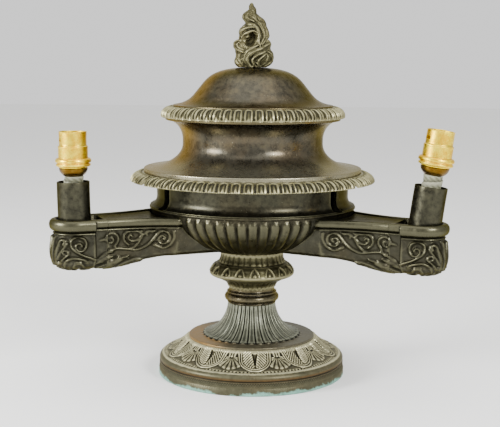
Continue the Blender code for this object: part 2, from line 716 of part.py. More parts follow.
def side_w(section, z):
    """Half width of a section at a height on its side, below the rail."""
    for (w0, z0), (w1, z1) in zip(section, section[1:]):
        if z1 <= z <= z0 and z1 < z0:
            side = lerp(w0, w1, (z0 - z) / (z0 - z1))
    return side


def add_arm_scroll(arm, side, label):
    """An S-scroll on each side of an arm: two eyes joined by one stem."""
    inner_eye = volute(SCROLL_S, SCROLL_Z, SCROLL_R, -60.0, SCROLL_TURNS, 8)
    outer_eye = volute(SCROLL_S + SCROLL_SPACING, SCROLL_Z, SCROLL_R, 120.0, SCROLL_TURNS, 8)
    path = inner_eye + outer_eye[::-1]
    for face in (-1, 1):
        def place(s, z, lift, face=face):
            half_w = side_w(outer_section(arm_half_width(s), keel_z(s)), z)
            return arm_point(side, s, face * (half_w + lift), z)
        name = label + ("_front_scroll" if face < 0 else "_back_scroll")
        boolean(arm, build_ribbon(name, path, place), "UNION")


def nozzle_point(side, face, run, z, lift):
    """A point over the nozzle end's side, by the distance run from the seam along its outline."""
    straight = NOZZLE_S - ARM_SEAM_S
    half_w = lerp(NOZZLE_SEAM_HALF_W, NOZZLE_R, min(run / straight, 1.0))
    reach = side_w(nozzle_section(half_w, keel_z(NOZZLE_S)), z) + lift
    if run <= straight:
        return arm_point(side, ARM_SEAM_S + run, face * reach, z)
    angle = (run - straight) / NOZZLE_R
    return arm_point(side, NOZZLE_S + reach * math.sin(angle), face * reach * math.cos(angle), z)


def add_nozzle_scroll(nozzle, side, label):
    """A single eye on each side, with a stem that runs down towards the tip."""
    eye = volute(NOZZLE_SCROLL_RUN, NOZZLE_SCROLL_Z, NOZZLE_SCROLL_R, 200.0, SCROLL_TURNS, 8)
    path = eye + [(NOZZLE_SCROLL_RUN - 3.0, NOZZLE_SCROLL_Z - 8.5), (NOZZLE_SCROLL_RUN + 6.0, NOZZLE_SCROLL_Z - 12.5)]
    for face in (-1, 1):
        def place(run, z, lift, face=face):
            return nozzle_point(side, face, run, z, lift)
        name = label + ("_front_eye" if face < 0 else "_back_eye")
        boolean(nozzle, build_ribbon(name, path, place), "UNION")


def build_arm(side, label, finish):
    bm = bmesh.new()
    rows = []
    seam = ARM_SEAM_S - GAP
    for s in (5.0, BOWL_FOOT_R, ARM_FLARE_S, lerp(ARM_FLARE_S, seam, 0.25), lerp(ARM_FLARE_S, seam, 0.5),
              lerp(ARM_FLARE_S, seam, 0.75), seam):
        outside = [bm.verts.new(p) for p in arm_row(side, outer_section, s)]
        inside = [bm.verts.new(p) for p in arm_row(side, inner_section, s)]
        rows.append((outside, inside))
    for (out_a, in_a), (out_b, in_b) in zip(rows, rows[1:]):
        join_loops(bm, out_a, out_b, closed=False)
        join_loops(bm, in_a, in_b, closed=False)
        for end in (0, -1):
            bm.faces.new((out_a[end], out_b[end], in_b[end], in_a[end]))
    for outside, inside in (rows[0], rows[-1]):
        bm.faces.new(outside + inside[::-1])
    arm = add_object(label + "_arm", bm, finish)
    boolean(arm, build_bowl_cutter(label + "_root_cutter"), "DIFFERENCE")
    add_arm_scroll(arm, side, label)
    return arm


def build_arm_cover(side, label, finish):
    """The dished plate on the ledges between the rails, from the bowl to just short of the seam."""
    bm = bmesh.new()
    rows = []
    across = (-1.0, -0.55, 0.0, 0.55, 1.0)
    end = ARM_SEAM_S - COVER_END_GAP
    top = ARM_TOP_Z - COVER_REBATE + GAP + COVER_T
    for share in (0.0, 0.22, 0.45, 0.7, 1.0):
        upper, lower = [], []
        for a in across:
            s = ARM_FLARE_S
            for _ in range(8):
                w = a * (arm_half_width(s) - RAIL_W - 3 * GAP)
                s = lerp(root_distance(w, BOWL_R + BOWL_LIP_OUT + 2 * GAP), end, share)
            dish = COVER_DISH * (1.0 - a * a)
            upper.append(bm.verts.new(arm_point(side, s, w, top - dish)))
            flat = 0.0 if abs(a) == 1.0 else dish
            lower.append(bm.verts.new(arm_point(side, s, w, top - COVER_T - flat)))
        rows.append((upper, lower))
    for (upper_a, lower_a), (upper_b, lower_b) in zip(rows, rows[1:]):
        join_loops(bm, upper_a + lower_a[::-1], upper_b + lower_b[::-1])
    for upper, lower in (rows[0], rows[-1]):
        join_loops(bm, upper, lower, closed=False)
    return add_object(label + "_arm_cover", bm, finish)


def nozzle_stations():
    """Stations round the boat-shaped end: (centre s, direction in degrees from the arm's line, half width)."""
    stations = []
    for s in (ARM_SEAM_S, 0.5 * (ARM_SEAM_S + NOZZLE_S)):
        t = (s - ARM_SEAM_S) / (NOZZLE_S - ARM_SEAM_S)
        stations.append((s, -90.0, lerp(NOZZLE_SEAM_HALF_W, NOZZLE_R, t)))
    stations += [(NOZZLE_S, -90.0 + 30.0 * k, NOZZLE_R) for k in range(7)]
    stations += [(s, 90.0, half_w) for s, _, half_w in stations[1::-1]]
    return stations


def prism(name, plan, low_z, high_z, side):
    """An upright prism over a plan in arm coordinates."""
    bm = bmesh.new()
    rows = [[bm.verts.new(arm_point(side, s, w, z)) for s, w in plan] for z in (low_z, high_z)]
    join_loops(bm, rows[0], rows[1])
    bm.faces.new(rows[0])
    bm.faces.new(rows[1])
    return add_object(name, bm)


def u_plan(radius, start):
    """A plan with straight sides from start to the tube's middle line and a round end."""
    plan = [(start, -radius)]
    plan += [(NOZZLE_S + radius * math.cos(math.radians(a)), radius * math.sin(math.radians(a)))
             for a in range(-90, 91, 20)]
    plan.append((start, radius))
    return plan


def build_nozzle_end(side, label, finish):
    bm = bmesh.new()
    columns = []
    for s, direction, half_w in nozzle_stations():
        angle = math.radians(direction)
        column = []
        for w, z in nozzle_section(half_w, keel_z(s)):
            column.append(bm.verts.new(arm_point(side, s + w * math.cos(angle), w * math.sin(angle), z)))
        columns.append(column)
    for a, b in zip(columns, columns[1:]):
        join_loops(bm, a, b, closed=False)
    bm.faces.new([column[0] for column in columns])
    first, last = columns[0], columns[-1]
    bm.faces.new(first[:-1] + [first[-1]] + last[-2::-1])
    bmesh.ops.remove_doubles(bm, verts=bm.verts[:], dist=1e-3)
    nozzle = add_object(label + "_nozzle_end", bm, finish)
    well = prism(label + "_well_cutter", u_plan(NOZZLE_BORE_R, ARM_SEAM_S - 5.0), SEAT_Z, ARM_TOP_Z + 5.0, side)
    oil_way = prism(label + "_oil_way_cutter", u_plan(NOZZLE_R - 9.5, ARM_SEAM_S - 5.0),
                    ARM_KEEL_END_Z + ARM_WALL + 2.5, SEAT_Z - SEAT_T, side)
    boolean(nozzle, well, "DIFFERENCE")
    boolean(nozzle, oil_way, "DIFFERENCE")
    add_nozzle_scroll(nozzle, side, label)
    return nozzle


def leaning(side, lean, base_z):
    """Where a burner piece stands: over the nozzle, leaning away from the lamp by an angle to the side."""
    x, y, _ = arm_point(side, NOZZLE_S, 0.0, 0.0)
    pivot = Matrix.Translation(Vector((x, y, LEAN_PIVOT_Z)) * MM)
    turn = Matrix.Rotation(math.radians(side * lean), 4, "Y")
    return pivot @ turn @ Matrix.Translation(Vector((0.0, 0.0, base_z - LEAN_PIVOT_Z)) * MM)


def build_burner(side, label, tube_lean, holder_lean, tape_top_h, bronze, tape, brass):
    """The tube, the wrapped stem and the lampholder of one arm."""
    tube_z = SEAT_Z + GAP + TUBE_R * math.sin(math.radians(tube_lean))
    tube_h = TUBE_TOP_Z - tube_z
    loops = [circle(TUBE_R, 0.0, SMALL_COLUMNS + 6), circle(TUBE_R, tube_h, SMALL_COLUMNS + 6)]
    bore = TUBE_R - TUBE_WALL
    loops += [circle(bore, tube_h, SMALL_COLUMNS + 6), circle(bore, 0.0, SMALL_COLUMNS + 6)]
    solid(label + "_burner_tube", loops, bronze, True, leaning(side, tube_lean, tube_z))

    tape_z = SEAT_Z + GAP + TAPE_R * math.sin(math.radians(holder_lean))
    tape_top = LEAN_PIVOT_Z + tape_top_h
    loops = [pole(0.0), circle(TAPE_R - 0.6, 0.0, SMALL_COLUMNS), circle(TAPE_R, 1.5, SMALL_COLUMNS),
             circle(TAPE_R, tape_top - tape_z, SMALL_COLUMNS), pole(tape_top - tape_z)]
    solid(label + "_tape_wrap", loops, tape, False, leaning(side, holder_lean, tape_z))

    cap_z = tape_top + GAP
    cap = [(TAPE_R - 0.4, 0.0), (0.82 * CAP_R, 0.3 * CAP_H), (0.96 * CAP_R, 0.65 * CAP_H), (CAP_R, CAP_H)]
    loops = [pole(0.0)] + [circle(r, z, SMALL_COLUMNS) for r, z in cap] + [pole(CAP_H)]
    solid(label + "_lampholder_cap", loops, brass, False, leaning(side, holder_lean, cap_z))

    holder_z = cap_z + CAP_H + GAP
    outer = [(HOLDER_SKIRT_R - 0.4, 0.0), (HOLDER_SKIRT_R, 0.8), (HOLDER_SKIRT_R, HOLDER_SKIRT_H),
             (HOLDER_R, HOLDER_SKIRT_H + 1.0), (HOLDER_R, HOLDER_H)]
    bore = HOLDER_R - HOLDER_WALL
    loops = [pole(0.0)] + [circle(r, z, SMALL_COLUMNS) for r, z in outer]
    loops += [circle(bore, HOLDER_H, SMALL_COLUMNS), circle(bore, HOLDER_FLOOR, SMALL_COLUMNS), pole(HOLDER_FLOOR)]
    solid(label + "_lampholder", loops, brass, False, leaning(side, holder_lean, holder_z))

    bore = HOLDER_SKIRT_R + GAP
    section = [(bore, 0.0), (SHADE_RING_R - 1.6, 0.0), (SHADE_RING_R - 0.4, 0.3 * SHADE_RING_H),
               (SHADE_RING_R - 0.4, 0.45 * SHADE_RING_H), (SHADE_RING_R, 0.6 * SHADE_RING_H),
               (SHADE_RING_R - 0.6, SHADE_RING_H), (bore, SHADE_RING_H)]
    loops = [circle(r, z, SMALL_COLUMNS) for r, z in section]
    solid(label + "_shade_ring", loops, brass, True, leaning(side, holder_lean, holder_z + 1.0))


def main():
    for old in list(bpy.data.objects):
        bpy.data.objects.remove(old, do_unlink=True)
    dark = material("patinated bronze", (86, 82, 66), 0.45, 0.9)
    brown = material("rubbed brown bronze", (98, 82, 58), 0.35, 0.9)
    carved = material("chased bronze", (134, 128, 98), 0.5, 0.85)
    brass = material("lacquered brass", (208, 172, 98), 0.35, 1.0)
    tape = material("insulating tape", (138, 138, 104), 0.7, 0.0)

    build_foot(carved)
    build_fluted_stem(carved)
    build_stem_bead(brown)
    build_leaf_knop(carved)
    build_bowl(dark)
    build_neck(dark)
    build_collar(carved)
    build_reservoir(brown)
    build_upper_ring(carved)
    build_dome(brown)
    build_flame(carved)
    for side, label, tube_lean, holder_lean, tape_top_h in (
            (-1, "left", LEFT_TUBE_LEAN, LEFT_HOLDER_LEAN, LEFT_TAPE_TOP_H),
            (1, "right", RIGHT_TUBE_LEAN, RIGHT_HOLDER_LEAN, RIGHT_TAPE_TOP_H)):
        build_arm(side, label, dark)
        build_arm_cover(side, label, dark)
        build_nozzle_end(side, label, dark)
        build_burner(side, label, tube_lean, holder_lean, tape_top_h, dark, tape, brass)


main()
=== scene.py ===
"""The colza lamp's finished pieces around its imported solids, with its bronze, brass, light and camera.

Lengths are in millimetres until a mesh is made. Azimuths are in degrees from the front (-Y), positive
towards +X. Profiles are lists of (radius, height).
"""
import json
import math

import bmesh
import bpy
import numpy as np
from mathutils import Matrix, Vector


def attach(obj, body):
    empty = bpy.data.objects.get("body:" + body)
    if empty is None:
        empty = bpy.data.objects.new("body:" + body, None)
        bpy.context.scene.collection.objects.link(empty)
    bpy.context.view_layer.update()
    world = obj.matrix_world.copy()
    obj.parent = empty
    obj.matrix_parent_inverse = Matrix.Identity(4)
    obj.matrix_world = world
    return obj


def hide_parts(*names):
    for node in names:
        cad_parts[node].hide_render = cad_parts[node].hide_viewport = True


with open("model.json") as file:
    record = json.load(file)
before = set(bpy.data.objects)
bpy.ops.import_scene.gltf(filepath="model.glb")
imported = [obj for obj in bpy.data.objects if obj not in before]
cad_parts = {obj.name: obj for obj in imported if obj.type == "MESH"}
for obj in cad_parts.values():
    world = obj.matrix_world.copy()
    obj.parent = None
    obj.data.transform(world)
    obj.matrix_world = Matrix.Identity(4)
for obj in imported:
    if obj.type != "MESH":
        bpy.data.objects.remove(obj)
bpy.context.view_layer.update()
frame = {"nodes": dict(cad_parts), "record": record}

MM = 0.001

# Finishes
NOISE, RANGE, MIX, MATH = "ShaderNodeTexNoise", "ShaderNodeMapRange", "ShaderNodeMix", "ShaderNodeMath"


def tint(text):
    """The linear colour of an sRGB hex value."""
    parts = [int(text[i:i + 2], 16) / 255.0 for i in (1, 3, 5)]
    return [c / 12.92 if c <= 0.04045 else ((c + 0.055) / 1.055) ** 2.4 for c in parts] + [1.0]


def per_mm(size):
    """Texture scale whose features are about this many millimetres across."""
    return 1.0 / (size * MM)


def add(tree, kind, inputs=None, out=0, **settings):
    """Adds a node with its settings and gives one of its outputs; inputs are values or other outputs."""
    node = tree.nodes.new(kind)
    for key, value in settings.items():
        setattr(node, key, value)
    for key, value in (inputs or {}).items():
        if isinstance(value, bpy.types.NodeSocket):
            tree.links.new(value, node.inputs[key])
        else:
            node.inputs[key].default_value = value
    return node.outputs[out]


def blank(name):
    """A material with a Principled shader alone, its tree and that shader."""
    made = bpy.data.materials.new(name)
    made.use_nodes = True
    return made, made.node_tree, made.node_tree.nodes["Principled BSDF"]


def bronze(name, ground, recess, ridge, brown_and_painted_reflection, roughness, ridge_share, brown_share, speckle, grazing,
           metal=0.95, dust_and_painted_light=0.0, verdigris=False):
    """Bronze under an old patina, which follows the "raised", "brown" and "dust" layers of a piece's points.

    Dirt darkens the recesses, handling has rubbed the ridges paler, and brown metal shows through in patches.
    The brown layer also holds a painted golden reflection, and faces that look up are painted pale:
    settled dust, and painted light from above.
    metal is the share that still mirrors, and grazing tints what the rims mirror.
    """
    made, tree, shader = blank(name)
    place = add(tree, "ShaderNodeTexCoord", out="Object")
    facing = add(tree, "ShaderNodeTexCoord", out="Normal")
    raised, brown_and_reflection_layer, dust_and_painted_light_layer = (add(tree, "ShaderNodeAttribute", out="Fac", attribute_name=layer)
                              for layer in ("raised", "brown_and_painted_reflection", "dust_and_painted_light"))
    # Patches as wide as a hand rubs, mottling of the patina, and small pale specks in some of the patches
    patches = add(tree, NOISE, {"Vector": place, "Scale": per_mm(42.0), "Detail": 5.0, "Roughness": 0.6})
    mottle = add(tree, NOISE, {"Vector": place, "Scale": per_mm(5.5), "Detail": 7.0, "Roughness": 0.68})
    specks = add(tree, "ShaderNodeTexVoronoi", {"Vector": place, "Scale": per_mm(3.2), "Randomness": 1.0})
    # The casting's own grain is about 0.3 mm; it is drawn at 1.3 mm so that it shows
    grain = add(tree, NOISE, {"Vector": place, "Scale": per_mm(1.3), "Detail": 3.0, "Roughness": 0.6})

    browned = add(tree, RANGE, {"Value": patches, "From Min": 0.47, "From Max": 0.66, "To Max": brown_share})
    # The brown layer adds brown patina and a painted golden reflection
    browned = add(tree, MATH, {0: browned, 1: brown_and_reflection_layer}, operation="MAXIMUM")
    body = add(tree, MIX, {0: browned, 6: tint(ground), 7: tint(brown_and_painted_reflection)}, out=2, data_type="RGBA")
    shade = add(tree, RANGE, {"Value": mottle, "From Min": 0.3, "From Max": 0.72, "To Min": 0.68,
                              "To Max": 1.3})
    body = add(tree, MIX, {0: 1.0, 6: body, 7: shade}, out=2, data_type="RGBA", blend_type="MULTIPLY")

    dirty = add(tree, RANGE, {"Value": raised, "From Min": 0.5, "From Max": 0.12})
    rubbed = add(tree, MATH, {0: mottle, 1: 0.5}, operation="SUBTRACT")
    rubbed = add(tree, MATH, {0: rubbed, 1: 0.55, 2: raised}, operation="MULTIPLY_ADD")
    rubbed = add(tree, RANGE, {"Value": rubbed, "From Min": 0.54, "From Max": 0.86, "To Max": ridge_share})
    specked = add(tree, RANGE, {"Value": specks, "From Min": 0.16, "From Max": 0.08, "To Max": speckle})
    in_patches = add(tree, RANGE, {"Value": patches, "From Min": 0.5, "From Max": 0.62})
    specked = add(tree, MATH, {0: specked, 1: in_patches}, operation="MULTIPLY")
    # Faces that look up are painted pale: settled dust, and painted light from above; the dust layer adds
    # more
    upward = add(tree, "ShaderNodeSeparateXYZ", {0: facing}, out="Z")
    settled_dust_and_painted_light = add(tree, RANGE, {"Value": upward, "From Min": 0.86, "From Max": 1.0, "To Max": dust_and_painted_light})
    settled_dust_and_painted_light = add(tree, MATH, {0: settled_dust_and_painted_light, 1: dust_and_painted_light_layer}, operation="MAXIMUM")
    for share, colour in ((dirty, recess), (rubbed, ridge), (specked, "#A9A88C"), (settled_dust_and_painted_light, "#B4B097")):
        body = add(tree, MIX, {0: share, 6: body, 7: tint(colour)}, out=2, data_type="RGBA")

    rough = add(tree, RANGE, {"Value": mottle, "From Min": 0.3, "From Max": 0.7, "To Min": roughness - 0.08,
                              "To Max": roughness + 0.1})
    mirror = add(tree, RANGE, {"Value": raised, "From Min": 0.15, "From Max": 0.5, "To Min": 0.6 * metal,
                               "To Max": metal})
    if verdigris:
        # Matt blue-green copper salts up to a ragged line a few millimetres above the table
        height = add(tree, "ShaderNodeSeparateXYZ", {0: place}, out="Z")
        ragged = add(tree, MATH, {0: patches, 1: -22.0 * MM, 2: height}, operation="MULTIPLY_ADD")
        ragged = add(tree, MATH, {0: mottle, 1: -6.0 * MM, 2: ragged}, operation="MULTIPLY_ADD")
        green = add(tree, RANGE, {"Value": ragged, "From Min": -10.5 * MM, "From Max": -12.5 * MM})
        salts = add(tree, MIX, {0: mottle, 6: tint("#35604F"), 7: tint("#8DB9AC")}, out=2, data_type="RGBA")
        body = add(tree, MIX, {0: green, 6: body, 7: salts}, out=2, data_type="RGBA")
        bare = add(tree, MATH, {0: 1.0, 1: green}, operation="SUBTRACT")
        mirror = add(tree, MATH, {0: mirror, 1: bare}, operation="MULTIPLY")
        rough = add(tree, MATH, {0: green, 1: 0.35, 2: rough}, operation="MULTIPLY_ADD")
    bump = add(tree, "ShaderNodeBump", {"Height": grain, "Strength": 0.22, "Distance": 0.12 * MM})
    bump = add(tree, "ShaderNodeBump", {"Height": mottle, "Strength": 0.3, "Distance": 0.35 * MM,
                                        "Normal": bump})
    for value, socket in ((body, "Base Color"), (mirror, "Metallic"), (rough, "Roughness"), (bump, "Normal")):
        tree.links.new(value, shader.inputs[socket])
    shader.inputs["Specular Tint"].default_value = tint(grazing)
    return made


def pressed_brass(name, gold, pale, stain, roughness):
    """Thin brass whose lacquer has gone in patches, with stains in its recesses."""
    made, tree, shader = blank(name)
    place = add(tree, "ShaderNodeTexCoord", out="Object")
    raised = add(tree, "ShaderNodeAttribute", out="Fac", attribute_name="raised")
    wear = add(tree, NOISE, {"Vector": place, "Scale": per_mm(7.0), "Detail": 8.0, "Roughness": 0.7})
    spots = add(tree, NOISE, {"Vector": place, "Scale": per_mm(1.6), "Detail": 4.0, "Roughness": 0.7})
    worn = add(tree, RANGE, {"Value": wear, "From Min": 0.42, "From Max": 0.62})
    spotted = add(tree, RANGE, {"Value": spots, "From Min": 0.6, "From Max": 0.7, "To Max": 0.7})
    dirty = add(tree, RANGE, {"Value": raised, "From Min": 0.5, "From Max": 0.1, "To Max": 0.8})
    body = tint(gold)
    for share, colour in ((worn, pale), (spotted, stain), (dirty, stain)):
        body = add(tree, MIX, {0: share, 6: body, 7: tint(colour)}, out=2, data_type="RGBA")
    rough = add(tree, RANGE, {"Value": spots, "From Min": 0.3, "From Max": 0.7, "To Min": roughness - 0.08,
                              "To Max": roughness + 0.14})
    bump = add(tree, "ShaderNodeBump", {"Height": wear, "Strength": 0.25, "Distance": 0.3 * MM})
    for value, socket in ((body, "Base Color"), (rough, "Roughness"), (bump, "Normal")):
        tree.links.new(value, shader.inputs[socket])
    shader.inputs["Metallic"].default_value = 1.0
    return made


def wound_tape(name):
    """Cotton tape, soiled in its folds and paler where it stands out."""
    made, tree, shader = blank(name)
    place = add(tree, "ShaderNodeTexCoord", out="Object")
    raised = add(tree, "ShaderNodeAttribute", out="Fac", attribute_name="raised")
    soil = add(tree, NOISE, {"Vector": place, "Scale": per_mm(6.0), "Detail": 6.0})
    # The threads are about 0.4 mm apart; they are drawn at 0.9 mm so that they show
    weave = add(tree, NOISE, {"Vector": place, "Scale": per_mm(0.9), "Detail": 2.0})
    dirty = add(tree, RANGE, {"Value": raised, "From Min": 0.5, "From Max": 0.2, "To Max": 0.8})
    proud = add(tree, RANGE, {"Value": raised, "From Min": 0.55, "From Max": 0.9, "To Max": 0.7})
    body = tint("#4A4A34")
    for share, colour in ((soil, "#707058"), (dirty, "#38382A"), (proud, "#9C9C86")):
        body = add(tree, MIX, {0: share, 6: body, 7: tint(colour)}, out=2, data_type="RGBA")
    bump = add(tree, "ShaderNodeBump", {"Height": weave, "Strength": 0.4, "Distance": 0.2 * MM})
    tree.links.new(body, shader.inputs["Base Color"])
    tree.links.new(bump, shader.inputs["Normal"])
    shader.inputs["Roughness"].default_value = 0.62
    return made


# Each finish is a material and the record's slot that it belongs to.
# Sand-cast bronze, patinated dark: a near-black green skin with soft, broken reflections
CAST = bronze("cast_bronze_dark_patina", "#35342B", "#141309", "#5D5B46", "#413A29", roughness=0.32,
              ridge_share=0.5, brown_share=0.4, speckle=0.25, grazing="#B9B49A"), "patinated_bronze"
# Bronze turned on a lathe and patinated brown: the smoothest surface here, with tight highlights
# Its brown colour is also the painted golden reflection on the side to the left of the front
TURNED = bronze("turned_bronze_brown_patina", "#46433A", "#1E1A12", "#7A6F4A", "#8E7040", roughness=0.28,
                ridge_share=0.4, brown_share=0.12, speckle=0.6, grazing="#CDC3A2"), "rubbed_bronze"
# Bronze cast and chased with punches: pale rubbed ridges against black recesses
CHASED = bronze("chased_bronze_rubbed_ridges", "#48452F", "#16140C", "#979270", "#4E452C", roughness=0.4,
                ridge_share=0.75, brown_share=0.35, speckle=0.2, grazing="#D0CBB0", metal=0.75,
                dust_and_painted_light=0.1), "chased_bronze"
# The same with a dry grey-green skin, which takes the shine off the reeds
# Its brown colour is also the painted golden reflection on the left of the stem's ring
STEM_BRONZE = bronze("chased_bronze_grey_green", "#44463C", "#0E0D08", "#828472", "#80643A",
                     roughness=0.36, ridge_share=0.8, brown_share=0.1, speckle=0.2, grazing="#C9C8B8",
                     metal=0.55), "chased_bronze"
# The same, rubbed palest of all, with verdigris where damp has stood under the rim
FOOT_BRONZE = bronze("chased_bronze_with_verdigris", "#514F3D", "#14120B", "#C0BB97", "#5A3E1C",
                     roughness=0.4, ridge_share=0.9, brown_share=0.2, speckle=0.2, grazing="#C9C5A8",
                     metal=0.65, dust_and_painted_light=0.1, verdigris=True), "chased_bronze"
# Brass pressed from sheet and lacquered: warm bright gold, duller in spots
BRASS = pressed_brass("pressed_brass_worn_lacquer", "#DCAE10", "#F4DA38", "#7E6218", 0.34), "lacquered_brass"
# Brass turned and left to tarnish: brown with a glint of gold
CAP_BRASS = pressed_brass("turned_brass_tarnished", "#5E4212", "#725A20", "#33250F", 0.32), "lacquered_brass"
# Woven cotton insulating tape, wound on by hand: matt grey-green with soft edges
TAPE = wound_tape("cotton_insulating_tape"), "insulating_tape"


# Shapes
def bezier(p0, p1, p2, p3, count):
    """Points along a cubic curve."""
    t = np.linspace(0.0, 1.0, count + 1)[:, None]
    p0, p1, p2, p3 = (np.array(p, float) for p in (p0, p1, p2, p3))
    return (1 - t) ** 3 * p0 + 3 * t * (1 - t) ** 2 * p1 + 3 * t * t * (1 - t) * p2 + t ** 3 * p3


def quarter(start, end, count, flat_first):
    """A quarter ellipse between two profile points, level at one end and upright at the other."""
    angle = np.linspace(0.0, 0.5 * math.pi, count + 1)
    a, b = np.sin(angle), 1 - np.cos(angle)
    if not flat_first:
        a, b = b, a
    return np.stack([start[0] + (end[0] - start[0]) * a, start[1] + (end[1] - start[1]) * b], 1)


def moulding(points, spacing, fillet=0.4):
    """A profile with its corners rounded and no span longer than spacing."""
    corner = 18.0  # degrees of turn from which a point counts as a corner
    points = np.array([*points], float)
    rounded = [points[0]]
    for before, here, after in zip(points, points[1:], points[2:]):
        a, b = before - here, after - here
        la, lb = np.hypot(*a), np.hypot(*b)
        turn = math.degrees(math.acos(max(-1.0, min(1.0, float(-(a @ b) / (la * lb))))))
        if turn < corner:
            rounded.append(here)
            continue
        cut = min(fillet, 0.45 * la, 0.45 * lb)
        start, end = here + a / la * cut, here + b / lb * cut
        for t in (0.0, 0.33, 0.67, 1.0):
            rounded.append((1 - t) ** 2 * start + 2 * t * (1 - t) * here + t * t * end)
    rounded.append(points[-1])
    fine = [rounded[0]]
    for p, q in zip(rounded, rounded[1:]):
        steps = max(1, math.ceil(np.hypot(*(q - p)) / spacing - 1e-6))
        fine += [p + (q - p) * k / steps for k in range(1, steps + 1)]
    return np.array(fine)


def turned(profile, columns, relief=None):
    """Rows of points turned about the axis; relief(azimuth, run, r, z) lifts them along their normal."""
    r, z = profile[:, :1], profile[:, 1:]
    step = np.gradient(profile, axis=0)
    step /= np.hypot(step[:, :1], step[:, 1:])
    run = np.concatenate([[0.0], np.cumsum(np.hypot(*np.diff(profile, axis=0).T))])[:, None]
    azimuth = (np.arange(columns) * 360.0 / columns)[None, :]
    lift = np.zeros((len(profile), columns)) if relief is None else relief(azimuth, run, r, z)
    r, z, angle = np.broadcast_arrays(r + step[:, 1:] * lift, z - step[:, :1] * lift, np.radians(azimuth))
    return np.stack([r * np.sin(angle), -r * np.cos(angle), z], -1)


def wall(outside, inside, columns, relief=None):
    """A turned wall: its outside with relief, then its plain inside, which starts where the outside ends."""
    return np.concatenate([turned(outside, columns, relief), turned(inside, columns)[1:]])


def fold(azimuth, count, phase):
    """Degrees from the middle of the nearest of count equal units."""
    pitch = 360.0 / count
    return (azimuth - phase + 0.5 * pitch) % pitch - 0.5 * pitch


def from_unit(azimuth, r, count, phase):
    """Distance round the surface from the middle of the nearest of count equal units."""
    return np.abs(np.radians(fold(azimuth, count, phase))) * r


def ramp(x, a, b):
    """0 before a and 1 after b, smooth between."""
    t = np.clip((x - a) / (b - a), 0.0, 1.0)
    return t * t * (3.0 - 2.0 * t)


def between(x, rise_from, rise_to, fall_from, fall_to):
    """1 from rise_to to fall_from and 0 outside, smooth between."""
    return ramp(x, rise_from, rise_to) * (1.0 - ramp(x, fall_from, fall_to))


def ridge(x, half):
    """A rounded ridge of height 1 about x = 0."""
    return np.clip(1.0 - (x / half) ** 2, 0.0, 1.0)


def boss(depth, width):
    """A rounded rise from 0 at an edge to 1 at this distance inside it."""
    return np.sqrt(1.0 - (1.0 - np.clip(depth / np.maximum(width, 0.01), 0.0, 1.0)) ** 2)


def grid_faces(rows, columns, around, over):
    """Four-sided faces over a grid of points; around joins each row's ends, over the first and last row."""
    i = np.arange(rows if over else rows - 1)[:, None]
    j = np.arange(columns if around else columns - 1)[None, :]
    i2, j2 = (i + 1) % rows, (j + 1) % columns
    corners = [a * columns + b for a, b in ((i, j), (i, j2), (i2, j2), (i2, j))]
    return np.stack(np.broadcast_arrays(*corners), -1).reshape(-1, 4).tolist()


def add_object(name, points, faces):
    """A clean closed mesh from points in millimetres: equal points merged, every face turned outwards."""
    mesh = bpy.data.meshes.new(name)
    mesh.from_pydata((points.reshape(-1, 3) * MM).tolist(), [], faces)
    bm = bmesh.new()
    bm.from_mesh(mesh)
    bmesh.ops.remove_doubles(bm, verts=bm.verts[:], dist=0.002 * MM)
    bmesh.ops.dissolve_degenerate(bm, edges=bm.edges[:], dist=0.001 * MM)
    bmesh.ops.recalc_face_normals(bm, faces=bm.faces[:])
    bm.to_mesh(mesh)
    bm.free()
    made = bpy.data.objects.new(name, mesh)
    bpy.context.scene.collection.objects.link(made)
    return made


def mark_wear(mesh, passes, full):
    """Stores how far each point stands out of its smoothed surroundings.

    1 is a ridge, 0.5 plain and 0 a recess. More passes smooth over a wider stretch, and full is the
    millimetres that count as fully raised.
    """
    count = len(mesh.vertices)
    points, normals = np.empty(3 * count), np.empty(3 * count)
    mesh.vertices.foreach_get("co", points)
    mesh.vertex_normals.foreach_get("vector", normals)
    points, normals = points.reshape(-1, 3), normals.reshape(-1, 3)
    ends = np.empty(2 * len(mesh.edges), np.int32)
    mesh.edges.foreach_get("vertices", ends)
    a, b = ends[0::2], ends[1::2]
    near = np.maximum(np.bincount(a, minlength=count) + np.bincount(b, minlength=count), 1)[:, None]
    level = points
    for _ in range(passes):
        total = [np.bincount(a, level[b, k], count) + np.bincount(b, level[a, k], count) for k in range(3)]
        level = np.stack(total, 1) / near
    stands = ((points - level) * normals).sum(1) / MM
    layer = mesh.attributes.new("raised", "FLOAT", "POINT")
    layer.data.foreach_set("value", np.clip(0.5 + 0.5 * stands / full, 0.0, 1.0).astype(np.float32))


def piece(name, finish, grid, around=True, over=True, caps=(), matrix=None, cutters=(), passes=8, full=0.25,
          sharp=50.0):
    """One closed mesh over a grid of points with its finish; it replaces the node of its name.

    Edges that turn by more than sharp degrees stay crisp.
    """
    made = add_object(name + "_finished", grid, grid_faces(*grid.shape[:2], around, over) + list(caps))
    if cutters:
        for cutter in cutters:
            change = made.modifiers.new("cut", "BOOLEAN")
            change.operation = "DIFFERENCE"
            change.solver = "MANIFOLD"
            change.object = cutter
        bpy.context.view_layer.update()
        cut = bpy.data.meshes.new_from_object(made.evaluated_get(bpy.context.evaluated_depsgraph_get()))
        made.modifiers.clear()
        made.data = cut
        for cutter in cutters:
            bpy.data.objects.remove(cutter)
    mesh = made.data
    if matrix is not None:
        mesh.transform(matrix)
    mesh.shade_smooth()
    mesh.set_sharp_from_angle(angle=math.radians(sharp))
    mark_wear(mesh, passes, full)
    material, slot_name = finish
    mesh.materials.clear()
    mesh.materials.append(material)
    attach(made, "root")
    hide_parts(name)
    return made


